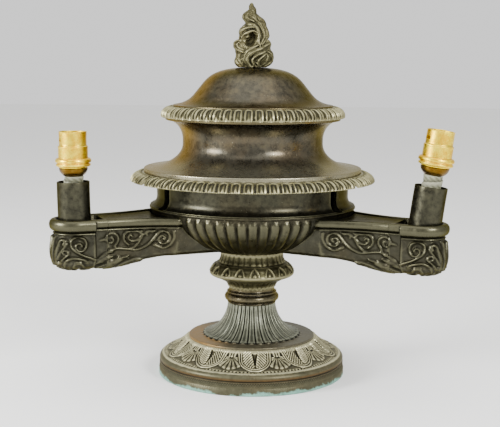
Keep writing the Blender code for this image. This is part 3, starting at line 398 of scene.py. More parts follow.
def paint(made, layer_name, amount):
    """Sets one of a piece's layers; amount takes azimuth, radius, height and the layer's old values."""
    count = len(made.data.vertices)
    points, old = np.empty(3 * count), np.zeros(count)
    made.data.vertices.foreach_get("co", points)
    x, y, z = points.reshape(-1, 3).T / MM
    layers = made.data.attributes
    layer = layers.get(layer_name) or layers.new(layer_name, "FLOAT", "POINT")
    layer.data.foreach_get("value", old)
    share = amount(np.degrees(np.arctan2(x, -y)), np.hypot(x, y), z, old)
    layer.data.foreach_set("value", np.clip(share, 0.0, 1.0).astype(np.float32))


def outwards(azimuth):
    """Level unit vectors that point outwards and across at an azimuth."""
    angle = math.radians(azimuth)
    return (math.sin(angle), -math.cos(angle)), (math.cos(angle), math.sin(angle))


def prism(name, plan, low, high):
    """An upright cutter over a plan of (x, y) points."""
    rows = np.array([[(x, y, z) for x, y in plan] for z in (low, high)])
    count = len(plan)
    lids = [[*range(count)], [*range(count, 2 * count)]]
    return add_object(name, rows, grid_faces(2, count, True, False) + lids)


def cutter_pair(name, plan, low, high):
    """Cutters over both arms' roots, from a plan given as (outwards, across)."""
    made = []
    for side in (-1, 1):
        out, across = outwards(side * ROOT_AZIMUTH)
        outline = [(out[0] * r + across[0] * w, out[1] * r + across[1] * w) for r, w in plan]
        made.append(prism(name, outline, low, high))
    return made


ARM_AZIMUTH = 62.0
ROOT_AZIMUTH = 57.0  # of the slots in the neck and the notches in the collar

# Foot
HATCHES = 240
LEAVES, LEAF_PHASE = 10, 5.4
BAND_LOW, BAND_HIGH, BAND_RUN = 20.9, 36.6, 29.4  # the leaf band's heights, and its length up the slope


def foot_relief(azimuth, run, r, z):
    """Cross-hatched frieze and the band of round-ended leaves with palmettes between."""
    hatch = 0.0
    for lean in (-1.0, 1.0):
        line = (azimuth * HATCHES / 360.0 + lean * z / 2.6) % 1.0
        hatch = np.maximum(hatch, 1.0 - np.minimum(line, 1.0 - line) / 0.3)
    frieze = -0.6 * np.clip(hatch, 0.0, 1.0) * between(z, 6.2, 6.8, 12.0, 12.6)

    # q runs up the band and x round it from the middle of a leaf; inside is the depth within a leaf's outline
    q = np.clip((z - BAND_LOW) / (BAND_HIGH - BAND_LOW), 0.0, 1.0) * BAND_RUN
    on_band = between(z, 20.7, 21.3, 36.2, 36.5) * (r > 65.0)
    x = from_unit(azimuth, r, LEAVES, LEAF_PHASE)
    half, middle, end = 16.0, 15.0, 1.6  # half a leaf's width, and the heights of its widest part and its end
    inside = half - np.hypot(x, np.clip(middle - q, 0.0, None) * half / (middle - end))
    border = 0.85 * np.maximum(ridge(inside - 0.9, 0.85), ridge(inside - 3.2, 0.85))
    blade = inside - 4.3
    vein = np.abs(np.sin(math.pi * (q + 1.5 * x) / 4.0)) ** 0.6
    slit_low = 4.0
    slit = np.clip(3.3 * (q - slit_low) / 25.0, 0.0, None)
    in_slit = 1.0 - ramp(x, slit - 0.25, slit + 0.25)
    veined = boss(blade, 1.5) * (1.25 * vein - 0.2) * (1.0 - in_slit) - 1.1 * in_slit * (q > slit_low)
    leaf = np.where(blade > 0.0, veined, border)

    # A palmette fans down from fan_q between two leaves, with a bundle of stalks above it and dots below
    fan_q = 20.0
    side = math.pi * r / LEAVES - x
    reach = np.hypot(side, fan_q - q)
    petal = np.abs(np.cos(math.pi * np.degrees(np.arctan2(side, fan_q - q)) / 19.0)) ** 0.5
    fan = 0.9 * petal * between(reach, 1.0, 4.0, 15.5, 17.5)
    stalks = 0.8 * np.abs(np.cos(math.pi * side / 2.6)) ** 0.6 * (1.0 - ramp(side, 3.2, 4.2))
    dots = ridge(np.hypot((side % 3.6) - 1.8, q - 1.6), 1.0) * (q < 3.0)
    palmette = (np.where(q < fan_q, fan, stalks) - dots) * ramp(-inside, 0.2, 0.9)
    return frieze + on_band * np.where(inside > 0.0, leaf, palmette)


def foot():
    band = bezier((90.8, BAND_LOW), (80.2, 24.2), (73.0, 28.9), (66.0, BAND_HIGH), 42)
    torus = [(93.9 + 1.3 * math.sin(math.radians(a)) - 1.98 * (a / 180.0) ** 2, 13.9 + 6.5 * a / 180.0)
             for a in range(18, 181, 36)]
    rim = moulding([(94.9, 5.9), (94.9, 12.8), (94.0, 13.0), (93.8, 13.5)], 0.8, 0.2)
    outside = np.concatenate([[(95.5, 0.0), (95.5, 5.4)], rim[1:], torus,
                              moulding([(91.4, 20.6), *band], 0.74), [(65.4, 37.0), (40.0, 37.0)]])
    inside = np.array([(40.0, 37.0), (40.0, 32.5), (61.5, 30.0), (86.5, 13.2), (89.6, 0.0)])
    made = piece("foot", FOOT_BRONZE, wall(outside, inside, 4 * HATCHES, foot_relief), passes=10, full=0.3)
    paint(made, "brown_and_painted_reflection", lambda azimuth, r, z, old: 0.8 * ridge(z - 14.5, 2.2) * (r > 80.0))
    paint(made, "raised", lambda azimuth, r, z, old: np.where(z < 20.6, np.minimum(old, 0.45), old))


# Stem, bead and knop
FLUTES = 36
RING_R = 49.5  # where the smooth ring meets the flutes
REEDS_FROM = 15.3  # along the outside from the ring's lower edge


def stem_relief(azimuth, run, r, z):
    """Convex reeds with round lower ends and narrow grooves between."""
    half, end_half = math.pi * r / FLUTES, math.pi * RING_R / FLUTES
    along = run - REEDS_FROM
    x = from_unit(azimuth, r, FLUTES, 3.0)
    depth = np.where(along > end_half, half - x, end_half - np.hypot(x, end_half - along))
    reed = 1.9 * boss(depth - 0.35, 0.35 * half) - 0.7 * ramp(along, 0.0, 7.0)
    return np.where(along > -0.5, reed, 0.0) * (r < 52.0)


def stem():
    ring = [(64.6, 37.3), (64.6, 38.6), (64.0, 39.3), (50.6, 39.5)]
    curve = bezier((RING_R, 39.5), (35.6, 42.8), (24.8, 55.4), (23.2, 72.3), 48)
    outside = np.concatenate([moulding(ring, 3.0), moulding(curve, 1.2)])
    inside = moulding([(23.2, 72.3), (18.7, 72.3), (18.7, 60.3), (24.7, 48.0), (40.0, 37.3)], 12.0)
    made = piece("fluted_stem", STEM_BRONZE, wall(outside, inside, 12 * FLUTES, stem_relief), full=0.3)

    def brown_ring_and_reflection(azimuth, r, z, old):
        """The smooth ring is a little brown all round, with a painted golden reflection to the left of the
        front.
        """
        return (r > 50.3) * (0.15 + 0.85 * ramp(np.abs(azimuth + 80.0), 70.0, 30.0))

    paint(made, "brown_and_painted_reflection", brown_ring_and_reflection)
    paint(made, "raised", lambda azimuth, r, z, old: np.where(r > 50.3, 0.5, old))


def bead():
    torus = [(24.9 + 3.0 * math.cos(math.radians(a)), 78.6 + 3.7 * math.sin(math.radians(a)))
             for a in range(-80, 81, 10)]
    outside = moulding([(24.0, 72.6), (25.0, 73.0), (25.3, 73.8), (24.6, 74.5), *torus, (24.7, 82.9),
                        (25.6, 83.5), (25.6, 84.6), (24.4, 85.2), (23.6, 86.4), (23.4, 88.0)], 1.0, 0.3)
    inside = moulding([(23.4, 88.0), (12.0, 88.0), (12.0, 72.6)], 20.0)
    piece("stem_bead", TURNED, wall(outside, inside, 120), passes=5, full=0.5)


ARCHES = 17


def petals(azimuth, phase, power):
    """Rounded petals side by side, two to each arch."""
    return np.abs(np.cos(math.pi * fold(azimuth, 2 * ARCHES, phase) / (360.0 / (2 * ARCHES)))) ** power


def knop_relief(azimuth, run, r, z):
    """Calyx leaves, then arches with raised rims, then petals under the bowl."""
    lower = 0.9 * petals(azimuth, 0.0, 0.7) * between(z, 88.6, 90.0, 97.4, 99.4)
    x = from_unit(azimuth, r, ARCHES, 7.0)
    q = z - 104.6
    height = 8.2
    depth = 5.3 * np.sqrt(np.clip(1.0 - (np.clip(q, 0.0, height) / height) ** 1.7, 0.0, 1.0)) - x
    rim = ridge(depth - 0.6, 0.85)
    well = -1.1 * boss(depth - 1.3, 1.2)
    tongue = 1.1 * ridge(np.hypot(x, q - 2.0), 2.4)
    middle = (rim + well + tongue) * between(q, 0.3, 0.8, 8.2, 8.8) * (z < 113.5)
    upper = 0.9 * petals(azimuth, 5.0, 0.6) * between(z, 114.8, 116.0, 126.2, 127.0)
    return lower + middle + upper


def knop():
    lower = bezier((23.6, 88.3), (24.4, 95.4), (28.6, 97.2), (37.4, 99.6), 16)
    lip = bezier((38.2, 100.0), (42.4, 101.0), (44.0, 103.0), (43.2, 104.9), 10)
    upper = [(43.0, 105.4), (41.7, 107.7), (39.9, 110.6), (37.4, 112.9), (36.9, 113.6), (36.6, 114.2),
             (34.4, 114.6)]
    throat = bezier((34.2, 114.9), (31.9, 117.2), (31.0, 120.0), (31.0, 127.0), 10)
    outside = moulding([*lower, *lip, *upper, *throat], 1.0, 0.2)
    inside = moulding([(31.0, 127.0), (12.0, 127.0), (12.0, 88.3)], 40.0)
    made = piece("leaf_knop", CHASED, wall(outside, inside, 24 * ARCHES, knop_relief), full=0.3)
    # Painted light: points marked a little more raised, so the knop shows paler in the shade under the bowl
    paint(made, "raised", lambda azimuth, r, z, old: 0.56 + 0.6 * (old - 0.5))


# Bowl and neck
GADROONS = 60
BOWL_R, BOWL_TOP, BOWL_DEPTH = 103.0, 172.8, 47.8


def bowl_radius(z):
    """Outer radius of the bowl, whose section is a quarter ellipse."""
    return BOWL_R * np.sqrt(1.0 - np.clip((BOWL_TOP - z) / BOWL_DEPTH, 0.0, 0.98) ** 2)


def bowl_relief(azimuth, run, r, z):
    """Long convex gadroons with round tops and a fine raised outline, left out behind the arms."""
    half, top_half = math.pi * r / GADROONS, 4.7
    drop = 170.9 - z  # below the tips of the gadroons
    x = from_unit(azimuth, r, GADROONS, 3.0)
    depth = np.where(drop > top_half, half - x, top_half - np.hypot(x, top_half - drop))
    swell = 2.5 * ramp(drop, -0.5, 4.0) * (1.0 - 0.62 * ramp(drop, 8.0, 44.0))
    outline = 0.75 * ridge(depth - 0.55, 0.5) * (r > 45.0)
    off = np.abs((azimuth + 180.0) % 360.0 - 180.0)
    carved = ((off < 36.0) | (off > 90.0)) & (drop > 0.0) & (r > 31.0)
    return np.where(carved, swell * boss(depth - 0.9, 0.8 * half) + outline, 0.0)


def bowl():
    heights = BOWL_TOP - BOWL_DEPTH * np.sin(np.linspace(math.asin(45.1 / BOWL_DEPTH), 0.035, 50))
    curve = np.stack([bowl_radius(heights), heights], 1)
    outside = moulding([(30.5, 127.3), *curve, (104.4, 171.7), (104.6, 172.2), (104.6, 173.2),
                        (104.2, 173.6)], 2.0, 0.3)
    angles = np.radians(np.arange(0.0, 90.0, 15.0))
    inside = [*np.stack([98.0 * np.cos(angles), 173.6 - 41.3 * np.sin(angles)], 1), (0.0, 132.3)]
    grid = np.concatenate([turned(np.array([(0.0, 127.3), *outside]), 12 * GADROONS, bowl_relief),
                           turned(np.array(inside), 12 * GADROONS)])
    piece("bowl", CAST, grid, over=False, passes=6, full=0.5)


def neck():
    flare = quarter((103.8, 174.7), (97.0, 183.9), 14, True)
    outside = moulding([(103.8, 173.9), *flare, (97.4, 204.5)], 1.6, 0.3)
    inside = moulding([(97.4, 204.5), (93.5, 204.5), (93.5, 173.9)], 20.0)
    slots = cutter_pair("slot", [(80.0, -5.5), (112.0, -5.5), (112.0, 5.5), (80.0, 5.5)], 170.9, 199.0)
    piece("neck", CAST, wall(outside, inside, 160), cutters=slots, passes=3, sharp=35.0, full=0.6)


# Gadroon rings
def gadroon_ring(name, curve, land, inside, count, phase, width, round_from, start_r, height, scallop,
                 cutters=()):
    """A ring of sunk tongues with round tops, each in a raised border, and narrow grooves between them.

    curve is the carved outside from the lower edge up, and land the flat above it. width holds half a
    tongue's width and the radius where it is that wide, and scallop the depth of the waved lower edge and
    how far it reaches.
    """
    length = float(np.hypot(*np.diff(curve, axis=0).T).sum())

    def relief(azimuth, run, r, z):
        from_top = length - run
        down = from_top - 0.6
        half = width[0] * r / width[1]
        x = from_unit(azimuth, r, count, phase)
        depth = np.where(down > round_from, half - x, half - np.hypot(x, round_from - down))
        tongue = ridge(depth - 0.85, 0.95) - boss(depth - 1.7, 1.6) + 0.55 * ridge(x, 1.9) * (depth > 1.8)
        groove = -0.55 * boss(-depth, 0.7) * ramp(down, 0.8, 2.0)
        edge = scallop[0] * np.cos(np.radians(fold(azimuth, count, phase) * count)) \
            * (1.0 - ramp(run, 0.0, scallop[1]))
        carved = np.where(from_top > 0.3, np.where(depth > 0.0, tongue, groove), 0.0) * ramp(run, -0.5, 0.6)
        return (height * carved + edge) * (r > start_r)

    outside = np.concatenate([moulding(curve, 0.66), land])
    piece(name, CHASED, wall(outside, inside, 12 * count, relief), cutters=cutters, full=0.3)


def collar():
    curve = bezier((123.4, 199.1), (122.6, 203.6), (117.8, 206.9), (111.3, 207.1), 26)
    inside = moulding([(93.5, 207.3), (93.5, 204.8), (107.3, 204.8), (119.6, 200.4), (122.0, 198.9)],
                      15.0, 0.2)
    notches = cutter_pair("notch", [(113.5, 0.0), (128.0, -6.0), (128.0, 6.0)], 190.0, 214.0)
    gadroon_ring("lower_gadroon_collar", curve, [(111.0, 207.3), (93.5, 207.3)], inside, count=64,
                 phase=0.9, width=(4.7, 120.0), round_from=4.9, start_r=111.0, height=1.0,
                 scallop=(0.7, 6.0), cutters=notches)


def upper_ring():
    curve = bezier((91.9, 262.5), (93.2, 268.0), (88.9, 272.4), (81.5, 273.2), 26)
    inside = moulding([(76.0, 273.2), (76.0, 262.5), (90.6, 262.5)], 6.0)
    gadroon_ring("upper_gadroon_ring", curve, [(81.0, 273.2), (76.0, 273.2)], inside, count=56, phase=0.0,
                 width=(4.2, 90.0), round_from=4.4, start_r=81.6, height=0.9, scallop=(0.5, 5.0))


# Reservoir and dome
def painted_golden_reflection(azimuth, r, z, old):
    """A painted golden reflection on the side to the left of the front, in the brown layer."""
    return 0.8 * ramp(np.abs(azimuth + 88.0), 50.0, 18.0)


def reservoir():
    flare = quarter((109.5, 212.0), (70.9, 236.1), 26, True)
    shoulder = quarter((70.9, 240.1), (87.8, 259.8), 20, False)
    outside = moulding([(110.1, 207.6), (110.1, 211.2), (109.6, 211.9), *flare[1:], *shoulder, (88.4, 260.3),
                        (88.4, 262.2)], 2.4)
    inside = moulding([(88.4, 262.2), (84.7, 262.2), (71.2, 256.1), (67.2, 238.1), (75.1, 220.7),
                       (92.0, 211.3), (92.0, 207.6)], 20.0)
    made = piece("reservoir", TURNED, wall(outside, inside, 160), passes=4, full=0.6)
    # Painted golden reflection on the side to the left of the front
    paint(made, "brown_and_painted_reflection", painted_golden_reflection)
    # Painted pale on the inner, upward part of the flare: settled dust, and painted light from above
    paint(made, "dust_and_painted_light", lambda azimuth, r, z, old: 0.4 * ramp(r, 74.0, 90.0) * (z < 224.0))


def dome():
    hollow = bezier((78.9, 275.0), (62.9, 277.9), (60.5, 284.9), (54.9, 291.2), 20)
    crown = bezier((54.9, 291.2), (48.8, 298.2), (44.1, 310.0), (14.5, 311.8), 26)
    outside = moulding([(80.7, 273.5), (80.7, 274.6), (80.3, 274.9), *hollow, *crown[1:]], 2.4, 0.3)
    inside = [(0.0, 308.8), (11.5, 308.8), (44.0, 303.0), (51.6, 290.0), (60.0, 277.0), (65.4, 273.5)]
    grid = np.concatenate([turned(np.array(inside), 160), turned(np.array([*outside, (0.0, 311.8)]), 160)])
    made = piece("dome_lid", TURNED, grid, over=False, passes=4, full=0.6)
    # Painted golden reflection on the side to the left of the front
    paint(made, "brown_and_painted_reflection", painted_golden_reflection)


# Carving drawn as strokes over a surface
def smooth(points):
    """A smooth curve through points, with five spans from one to the next."""
    points = np.asarray(points, float)
    ends = np.concatenate([[2 * points[0] - points[1]], points, [2 * points[-1] - points[-2]]])
    out = []
    for p0, p1, p2, p3 in zip(ends, ends[1:], ends[2:], ends[3:]):
        for t in np.linspace(0.0, 1.0, 5, endpoint=False):
            out.append(0.5 * (2 * p1 + (p2 - p0) * t + (2 * p0 - 5 * p1 + 4 * p2 - p3) * t * t
                              + (3 * p1 - p0 - 3 * p2 + p3) * t ** 3))
    return np.array(out + [points[-1]])


def carve(u, v, marks):
    """Height of strokes over (u, v), each (points, half width at start, half width at end, height, kind)."""
    u, v = np.broadcast_arrays(u, v)
    height = np.zeros(u.shape)
    for points, start_w, end_w, lift, kind in marks:
        path = smooth(points)
        spans = np.hypot(*np.diff(path, axis=0).T)
        shares = np.concatenate([[0.0], np.cumsum(spans)]) / spans.sum()
        reach = max(start_w, end_w)
        near = (u > path[:, 0].min() - reach) & (u < path[:, 0].max() + reach) \
            & (v > path[:, 1].min() - reach) & (v < path[:, 1].max() + reach)
        if not near.any():
            continue
        pu, pv = u[near], v[near]
        best = np.zeros(pu.shape)
        for p, q, a, b, span in zip(path, path[1:], shares, shares[1:], spans):
            t = np.clip(((pu - p[0]) * (q[0] - p[0]) + (pv - p[1]) * (q[1] - p[1])) / span ** 2, 0.0, 1.0)
            off = np.hypot(pu - p[0] - t * (q[0] - p[0]), pv - p[1] - t * (q[1] - p[1]))
            share = a + (b - a) * t
            width = start_w + (end_w - start_w) * share
            if kind == "leaf":
                width = start_w * np.sin(math.pi * np.clip(share, 0.03, 0.985) ** 0.75) ** 0.8 + 0.15
            if kind == "lock":
                width = width * (0.7 + 0.5 * np.sin(math.pi * share))
            part = np.clip(1.0 - (off / width) ** 2, 0.0, 1.0) ** 0.7
            if kind == "leaf":
                part -= 0.45 * ridge(off, 1.1) * ramp(width, 1.0, 2.0)
            if kind == "lock":
                part *= 0.7 + 0.3 * np.abs(np.cos(1.5 * math.pi * off / width)) ** 0.7
            best = np.maximum(best, part)
        height[near] = np.maximum(height[near], lift * best)
    return height


def soften(height):
    """Heights on a grid evened out over neighbouring points."""
    for axis in (0, 1):
        height = np.moveaxis(height, axis, 0)
        inner = 0.25 * height[:-2] + 0.5 * height[1:-1] + 0.25 * height[2:]
        height = np.moveaxis(np.concatenate([height[:1], inner, height[-1:]]), 0, axis)
    return height


def lifted(points, height):
    """A grid moved along its own normals."""
    along, across = np.gradient(points, axis=0), np.gradient(points, axis=1)
    normal = np.cross(across, along)
    normal /= np.maximum(np.linalg.norm(normal, axis=-1, keepdims=True), 1e-9)
    return points + normal * height[..., None]


def end_caps(rows, count, outer):
    """Triangles that close both ends of a grid, between its first outer columns and the others."""
    faces = []
    for first in (0, (rows - 1) * count):
        a, b = range(first, first + outer), range(first + count - 1, first + outer - 1, -1)
        i = j = 0
        while i < len(a) - 1 or j < len(b) - 1:
            if j == len(b) - 1 or (i < len(a) - 1 and (i + 1) * (len(b) - 1) <= (j + 1) * (len(a) - 1)):
                faces.append((a[i], a[i + 1], b[j]))
                i += 1
            else:
                faces.append((a[i], b[j + 1], b[j]))
                j += 1
    return faces


# Arms: s runs out along the arm's middle line, w across it (positive to the back) and z up
ARM_TOP = 169.8
LEDGE_Z = ARM_TOP - 3.5  # where the cover lies between the rails
JOINT_S = 162.3  # where the arm's casting meets its nozzle end, under the plain part of the moulding
JOINT_HALF_W = 24.2
STEP_S = 173.3  # where the moulding steps up to the nozzle end's thicker rail
NOZZLE_S, NOZZLE_R = 187.0, 21.6
FLAT, RAIL, GROOVE, WALL, UNDER = 3, 10, 6, 50, 30  # spans of each part of a section
CARVED_FROM = RAIL + GROOVE + 2  # points from the rail's flat to the top of the carved side


def arm_place(side, s, w, z):
    """Points of an arm in the lamp's own frame."""
    angle = math.radians(ARM_AZIMUTH)
    s, w, z = np.broadcast_arrays(s, w, z)
    x = s * math.sin(angle) + w * math.cos(angle)
    y = -s * math.cos(angle) + w * math.sin(angle)
    return np.stack([side * x, y, z], -1)


def arm_half_width(s):
    """Half the arm's width, which grows from its joint towards the bowl."""
    return JOINT_HALF_W + 14.8 * np.clip((JOINT_S - s) / 65.3, 0.0, 1.0) ** 2


def keel_z(s):
    """Height of the arm's lowest line, which sinks towards the joint."""
    return 129.8 - 8.8 * ramp(s, 98.0, JOINT_S)


def half_section(half_w, keel, swollen):
    """Half a section from the rail's top edge round to the keel; swollen is 0 on the arm, 1 on its end."""
    top, body = ARM_TOP, ARM_TOP - 9.5 - keel
    foot_z = top - 7.4 - 3.6 * swollen
    flat = np.linspace((half_w - 5.0, top), (half_w - 1.6, top), FLAT)
    rail = bezier((half_w - 1.2, top), (half_w + 2.3 + 2.0 * swollen, top - 0.2),
                  (half_w + 2.2 + 2.0 * swollen, foot_z + 0.8), (half_w - 0.8, foot_z), RAIL)
    groove = bezier((half_w - 1.6, foot_z - 0.3), (half_w - 2.8, foot_z - 1.2), (half_w + 0.9, foot_z - 1.6),
                    (half_w - 1.0, foot_z - 3.0), GROOVE)
    upright = bezier((half_w - 1.3, foot_z - 3.6), (half_w - 1.5 + 1.9 * swollen, keel + 0.62 * body),
                     (half_w - 2.4 + 3.2 * swollen, keel + 0.42 * body),
                     (half_w - 4.4 + 3.6 * swollen, keel + 0.25 * body), WALL)
    under = bezier((half_w - 4.9 + 3.7 * swollen, keel + 0.2 * body),
                   (half_w - 7.4 + 3.4 * swollen, keel + 0.05 * body), (0.62 * half_w, keel + 0.015 * body),
                   (0.0, keel), UNDER)
    return np.concatenate([flat, rail, groove, upright, under])


def section_at(half_w, keel, swollen):
    """Many half sections at once, w and z apart; a section changes in proportion to each of its values."""
    units = (0.0, 0.0, 0.0), (1.0, 0.0, 0.0), (0.0, 1.0, 0.0), (0.0, 0.0, 1.0)
    base, wide, deep, swell = (half_section(*unit) for unit in units)
    w = base[:, 0] + (wide - base)[:, 0] * half_w + (swell - base)[:, 0] * swollen
    z = base[:, 1] + (deep - base)[:, 1] * keel + (swell - base)[:, 1] * swollen
    return w, z


def unrolled_side(w, z, first):
    """Distance round each section, and height as if the side below its point first were unrolled flat."""
    steps = np.hypot(np.diff(w, axis=1), np.diff(z, axis=1))
    down = np.concatenate([np.zeros((len(w), 1)), np.cumsum(steps, 1)], 1)
    return down, z[:, first:first + 1] - (down - down[:, first:first + 1])


# Strokes of the side as (s, height) when unrolled, then half width at start and end, height and kind
CARVING = [
    # Stem and the volute next to the bowl
    ([(158, 140), (153, 141.8), (142, 140.7), (135.3, 139.6), (129.4, 140.9), (123.5, 144.1), (119.3, 148),
      (116, 152.4), (113, 156), (109, 157.2), (105.2, 155.6), (103.4, 151.4), (104.5, 147), (108.1, 144.9),
      (112.4, 145.8), (113.6, 149.6), (110.8, 152.8), (107.8, 151.2), (108.8, 148.8)], 1.4, 1.0, 2.1,
     "stem"),
    ([(99.8, 157), (99.6, 152), (101.1, 147), (104.2, 142.6), (108.6, 140.6), (112.6, 141.6),
      (117.3, 144)], 0.9, 1.6, 1.7, "stem"),
    ([(111, 147.2), (114.1, 149.1), (116.4, 148.2)], 0.9, 0.9, 1.5, "stem"),
    # Middle volute with its budding branch
    ([(140.7, 140.8), (136.5, 142), (132.8, 145.6), (130.3, 150), (128.4, 153.6), (124.5, 156.4),
      (119, 157.4)], 1.2, 1.3, 1.8, "stem"),
    ([(129.4, 154.6), (131.5, 157), (136, 157.9), (141.5, 157.6), (145.4, 155.2), (146.1, 151),
      (144.3, 147.4), (141.2, 144.6)], 1.3, 1.3, 2.0, "stem"),
    ([(129.2, 153.4), (131.4, 150.4), (135, 148.4), (138.6, 148.2), (141.4, 150.2), (141.8, 152.8),
      (139.6, 154.2), (138, 152.4)], 1.2, 1.0, 1.9, "stem"),
    ([(130.2, 157.3), (128.9, 157.9)], 1.4, 1.4, 2.2, "stem"),
    ([(119.2, 157), (117.4, 157.9)], 1.7, 1.5, 2.3, "stem"),
    ([(124.8, 155.2), (124.2, 153.4)], 1.2, 0.9, 1.8, "stem"),
    # Outer volute with its leaf tip, and the rosette below it
    ([(154.6, 142.4), (154.3, 145.4), (152.2, 148.5), (151.6, 152.4), (153.7, 155.4), (157.6, 156.6),
      (161.6, 155.6), (163.2, 152.4), (162.6, 149.2), (159.8, 147.4), (156.9, 148.4), (156.4, 151.2),
      (158.8, 152.8)], 1.4, 1.0, 2.0, "stem"),
    ([(163.2, 151.4), (166, 150.6), (169.2, 150.2)], 1.6, 0.6, 1.9, "stem"),
    ([(158.2, 139.4), (159.6, 139.8)], 2.4, 2.4, 2.4, "stem"),
    # Acanthus that comes up from the underside
    ([(160.5, 138.6), (163, 136.8), (166.5, 134.4), (170, 132), (173, 130.4)], 2.2, 0.0, 2.0, "leaf"),
    ([(173, 127.5), (168, 130.2), (161.3, 132.6), (155.4, 134.8)], 2.8, 0.0, 2.3, "leaf"),
    ([(172, 121.5), (162, 125.4), (154.9, 128.8), (150.4, 133.4)], 3.2, 0.0, 2.5, "leaf"),
    ([(160, 120), (155.3, 126.4), (148, 130.6), (141.4, 134)], 3.0, 0.0, 2.4, "leaf"),
    ([(152, 120), (145, 125.6), (136.1, 128.8), (127, 130.4)], 2.8, 0.0, 2.2, "leaf"),
    ([(170, 108), (163, 113), (156, 118), (151, 121.5)], 3.2, 0.0, 2.2, "leaf"),
    ([(156, 109.5), (148, 114), (141, 119), (136, 123)], 3.2, 0.0, 2.2, "leaf"),
    ([(142, 111.5), (136, 116), (130, 120.5), (126, 124.5)], 2.8, 0.0, 2.0, "leaf"),
    ([(173, 104.5), (127, 111.5)], 2.2, 1.2, 1.9, "stem"),
    # The nozzle end's crook, whose stem comes up from the underside
    ([(173.3, 131.5), (178.3, 133.8), (184.8, 136.2), (190.7, 139.6), (195.3, 143.2), (197.3, 147.6),
      (196.5, 151.6), (192.7, 154), (187.9, 153.9), (184.3, 152), (182.6, 148.6), (183.1, 144.6),
      (185.7, 141.4), (189.3, 141), (192.1, 143.2), (192.5, 146.4), (190.1, 148.3), (187.4, 147.3),
      (187, 145.4)], 1.5, 1.0, 2.3, "stem"),
    ([(180.9, 129.6), (184.7, 132), (189.9, 133.6), (195.1, 134.2), (199.9, 132.6), (203.7, 129.2),
      (205.1, 125)], 1.5, 1.5, 2.1, "stem"),
    ([(195.6, 124), (192.5, 128.8), (187.4, 128), (184.3, 124.5)], 1.3, 1.3, 1.9, "stem"),
    ([(207.3, 131.4), (202.6, 135.2), (199.8, 137.6), (200.2, 140.2), (202.4, 141.4), (204.8, 140.2),
      (204.4, 137.8), (202.6, 137.6)], 1.2, 1.0, 2.1, "stem"),
    # Palmette round the tip
    ([(211.2, 133), (207.8, 138.6), (204.2, 143.4), (201.5, 147.6)], 1.6, 1.3, 2.2, "stem"),
    ([(209.6, 145.6), (208.4, 149.8), (205.3, 151.7), (202.8, 150), (204.2, 147.4)], 1.5, 1.9, 2.7,
     "stem"),
    ([(219.9, 126), (218.5, 135), (217.6, 144), (216.6, 151.4), (214.4, 154.6)], 3.1, 0.0, 3.3, "leaf"),
    ([(214.6, 128), (213, 136), (211.2, 143), (208.8, 149)], 2.8, 0.0, 2.9, "leaf"),
    ([(214.6, 128), (209.6, 128.6), (205.8, 131.6)], 1.6, 1.4, 2.2, "stem"),
    ([(172, 106), (179, 112), (185, 118), (189, 123)], 3.4, 0.0, 2.2, "leaf"),
    ([(184, 105), (192, 111), (198, 117), (201, 122)], 3.4, 0.0, 2.2, "leaf"),
    ([(197, 105), (204, 112), (208, 118), (210, 124)], 3.2, 0.0, 2.2, "leaf"),
    ([(211, 105), (215, 112), (216.5, 118), (217, 124)], 3.0, 0.0, 2.2, "leaf"),
]


def arm(side, label):
    """The arm's trough from the bowl to its joint, with carved sides."""
    rows = 108
    share = np.linspace(0.0, 1.0, rows)[:, None]

    def out_from_bowl(section):
        """Sections whose near ends follow the bowl's curve."""
        s = np.full((rows, section(0.0, 0.0, 0.0)[0].shape[-1]), 110.0)
        for _ in range(12):
            w, z = section(arm_half_width(s), keel_z(s), 0.0)
            near = np.sqrt(np.clip((bowl_radius(z) - 0.5) ** 2 - w ** 2, 400.0, None))
            s = near + (JOINT_S - 0.3 - near) * share
        return s, *section(arm_half_width(s), keel_z(s), 0.0)

    def trough(half_w, keel, _):
        """Half the hollow's section, from the ledge under the cover down to its floor."""
        half_w, keel = np.atleast_2d(half_w)[:, :1], np.atleast_2d(keel)[:, :1]
        ledge, floor_z = np.full_like(keel, LEDGE_Z), keel + 4.0
        w = np.concatenate([half_w - 5.0, half_w - 7.2, half_w - 9.0, 0.4 * half_w, 0.0 * half_w], 1)
        z = np.concatenate([ledge, ledge, keel + 0.3 * (ARM_TOP - 9.5 - keel), floor_z, floor_z], 1)
        return w, z

    def both_sides(*halves):
        return [np.concatenate([front, back[:, -2::-1]], 1) for front, back in halves]

    s, w, z = out_from_bowl(section_at)
    first = FLAT + CARVED_FROM
    v = unrolled_side(w, z, first)[1]
    height = soften(carve(s, v, CARVING)) * ramp(159.0 - v, 0.0, 1.0)
    height *= ramp(np.arange(rows)[:, None], 0.0, 3.0)
    height[:, :first] = 0.0
    *outer, height = both_sides((s, s), (-w, w), (z, z), (height, height))
    outer = lifted(arm_place(side, *outer), side * height)
    s, w, z = out_from_bowl(trough)
    inner = arm_place(side, *both_sides((s, s), (-w, w), (z, z)))
    grid = np.concatenate([outer, inner[:, ::-1]], 1)
    piece(label + "_arm", CAST, grid, over=False, caps=end_caps(rows, grid.shape[1], outer.shape[1]),
          passes=6, full=0.4)


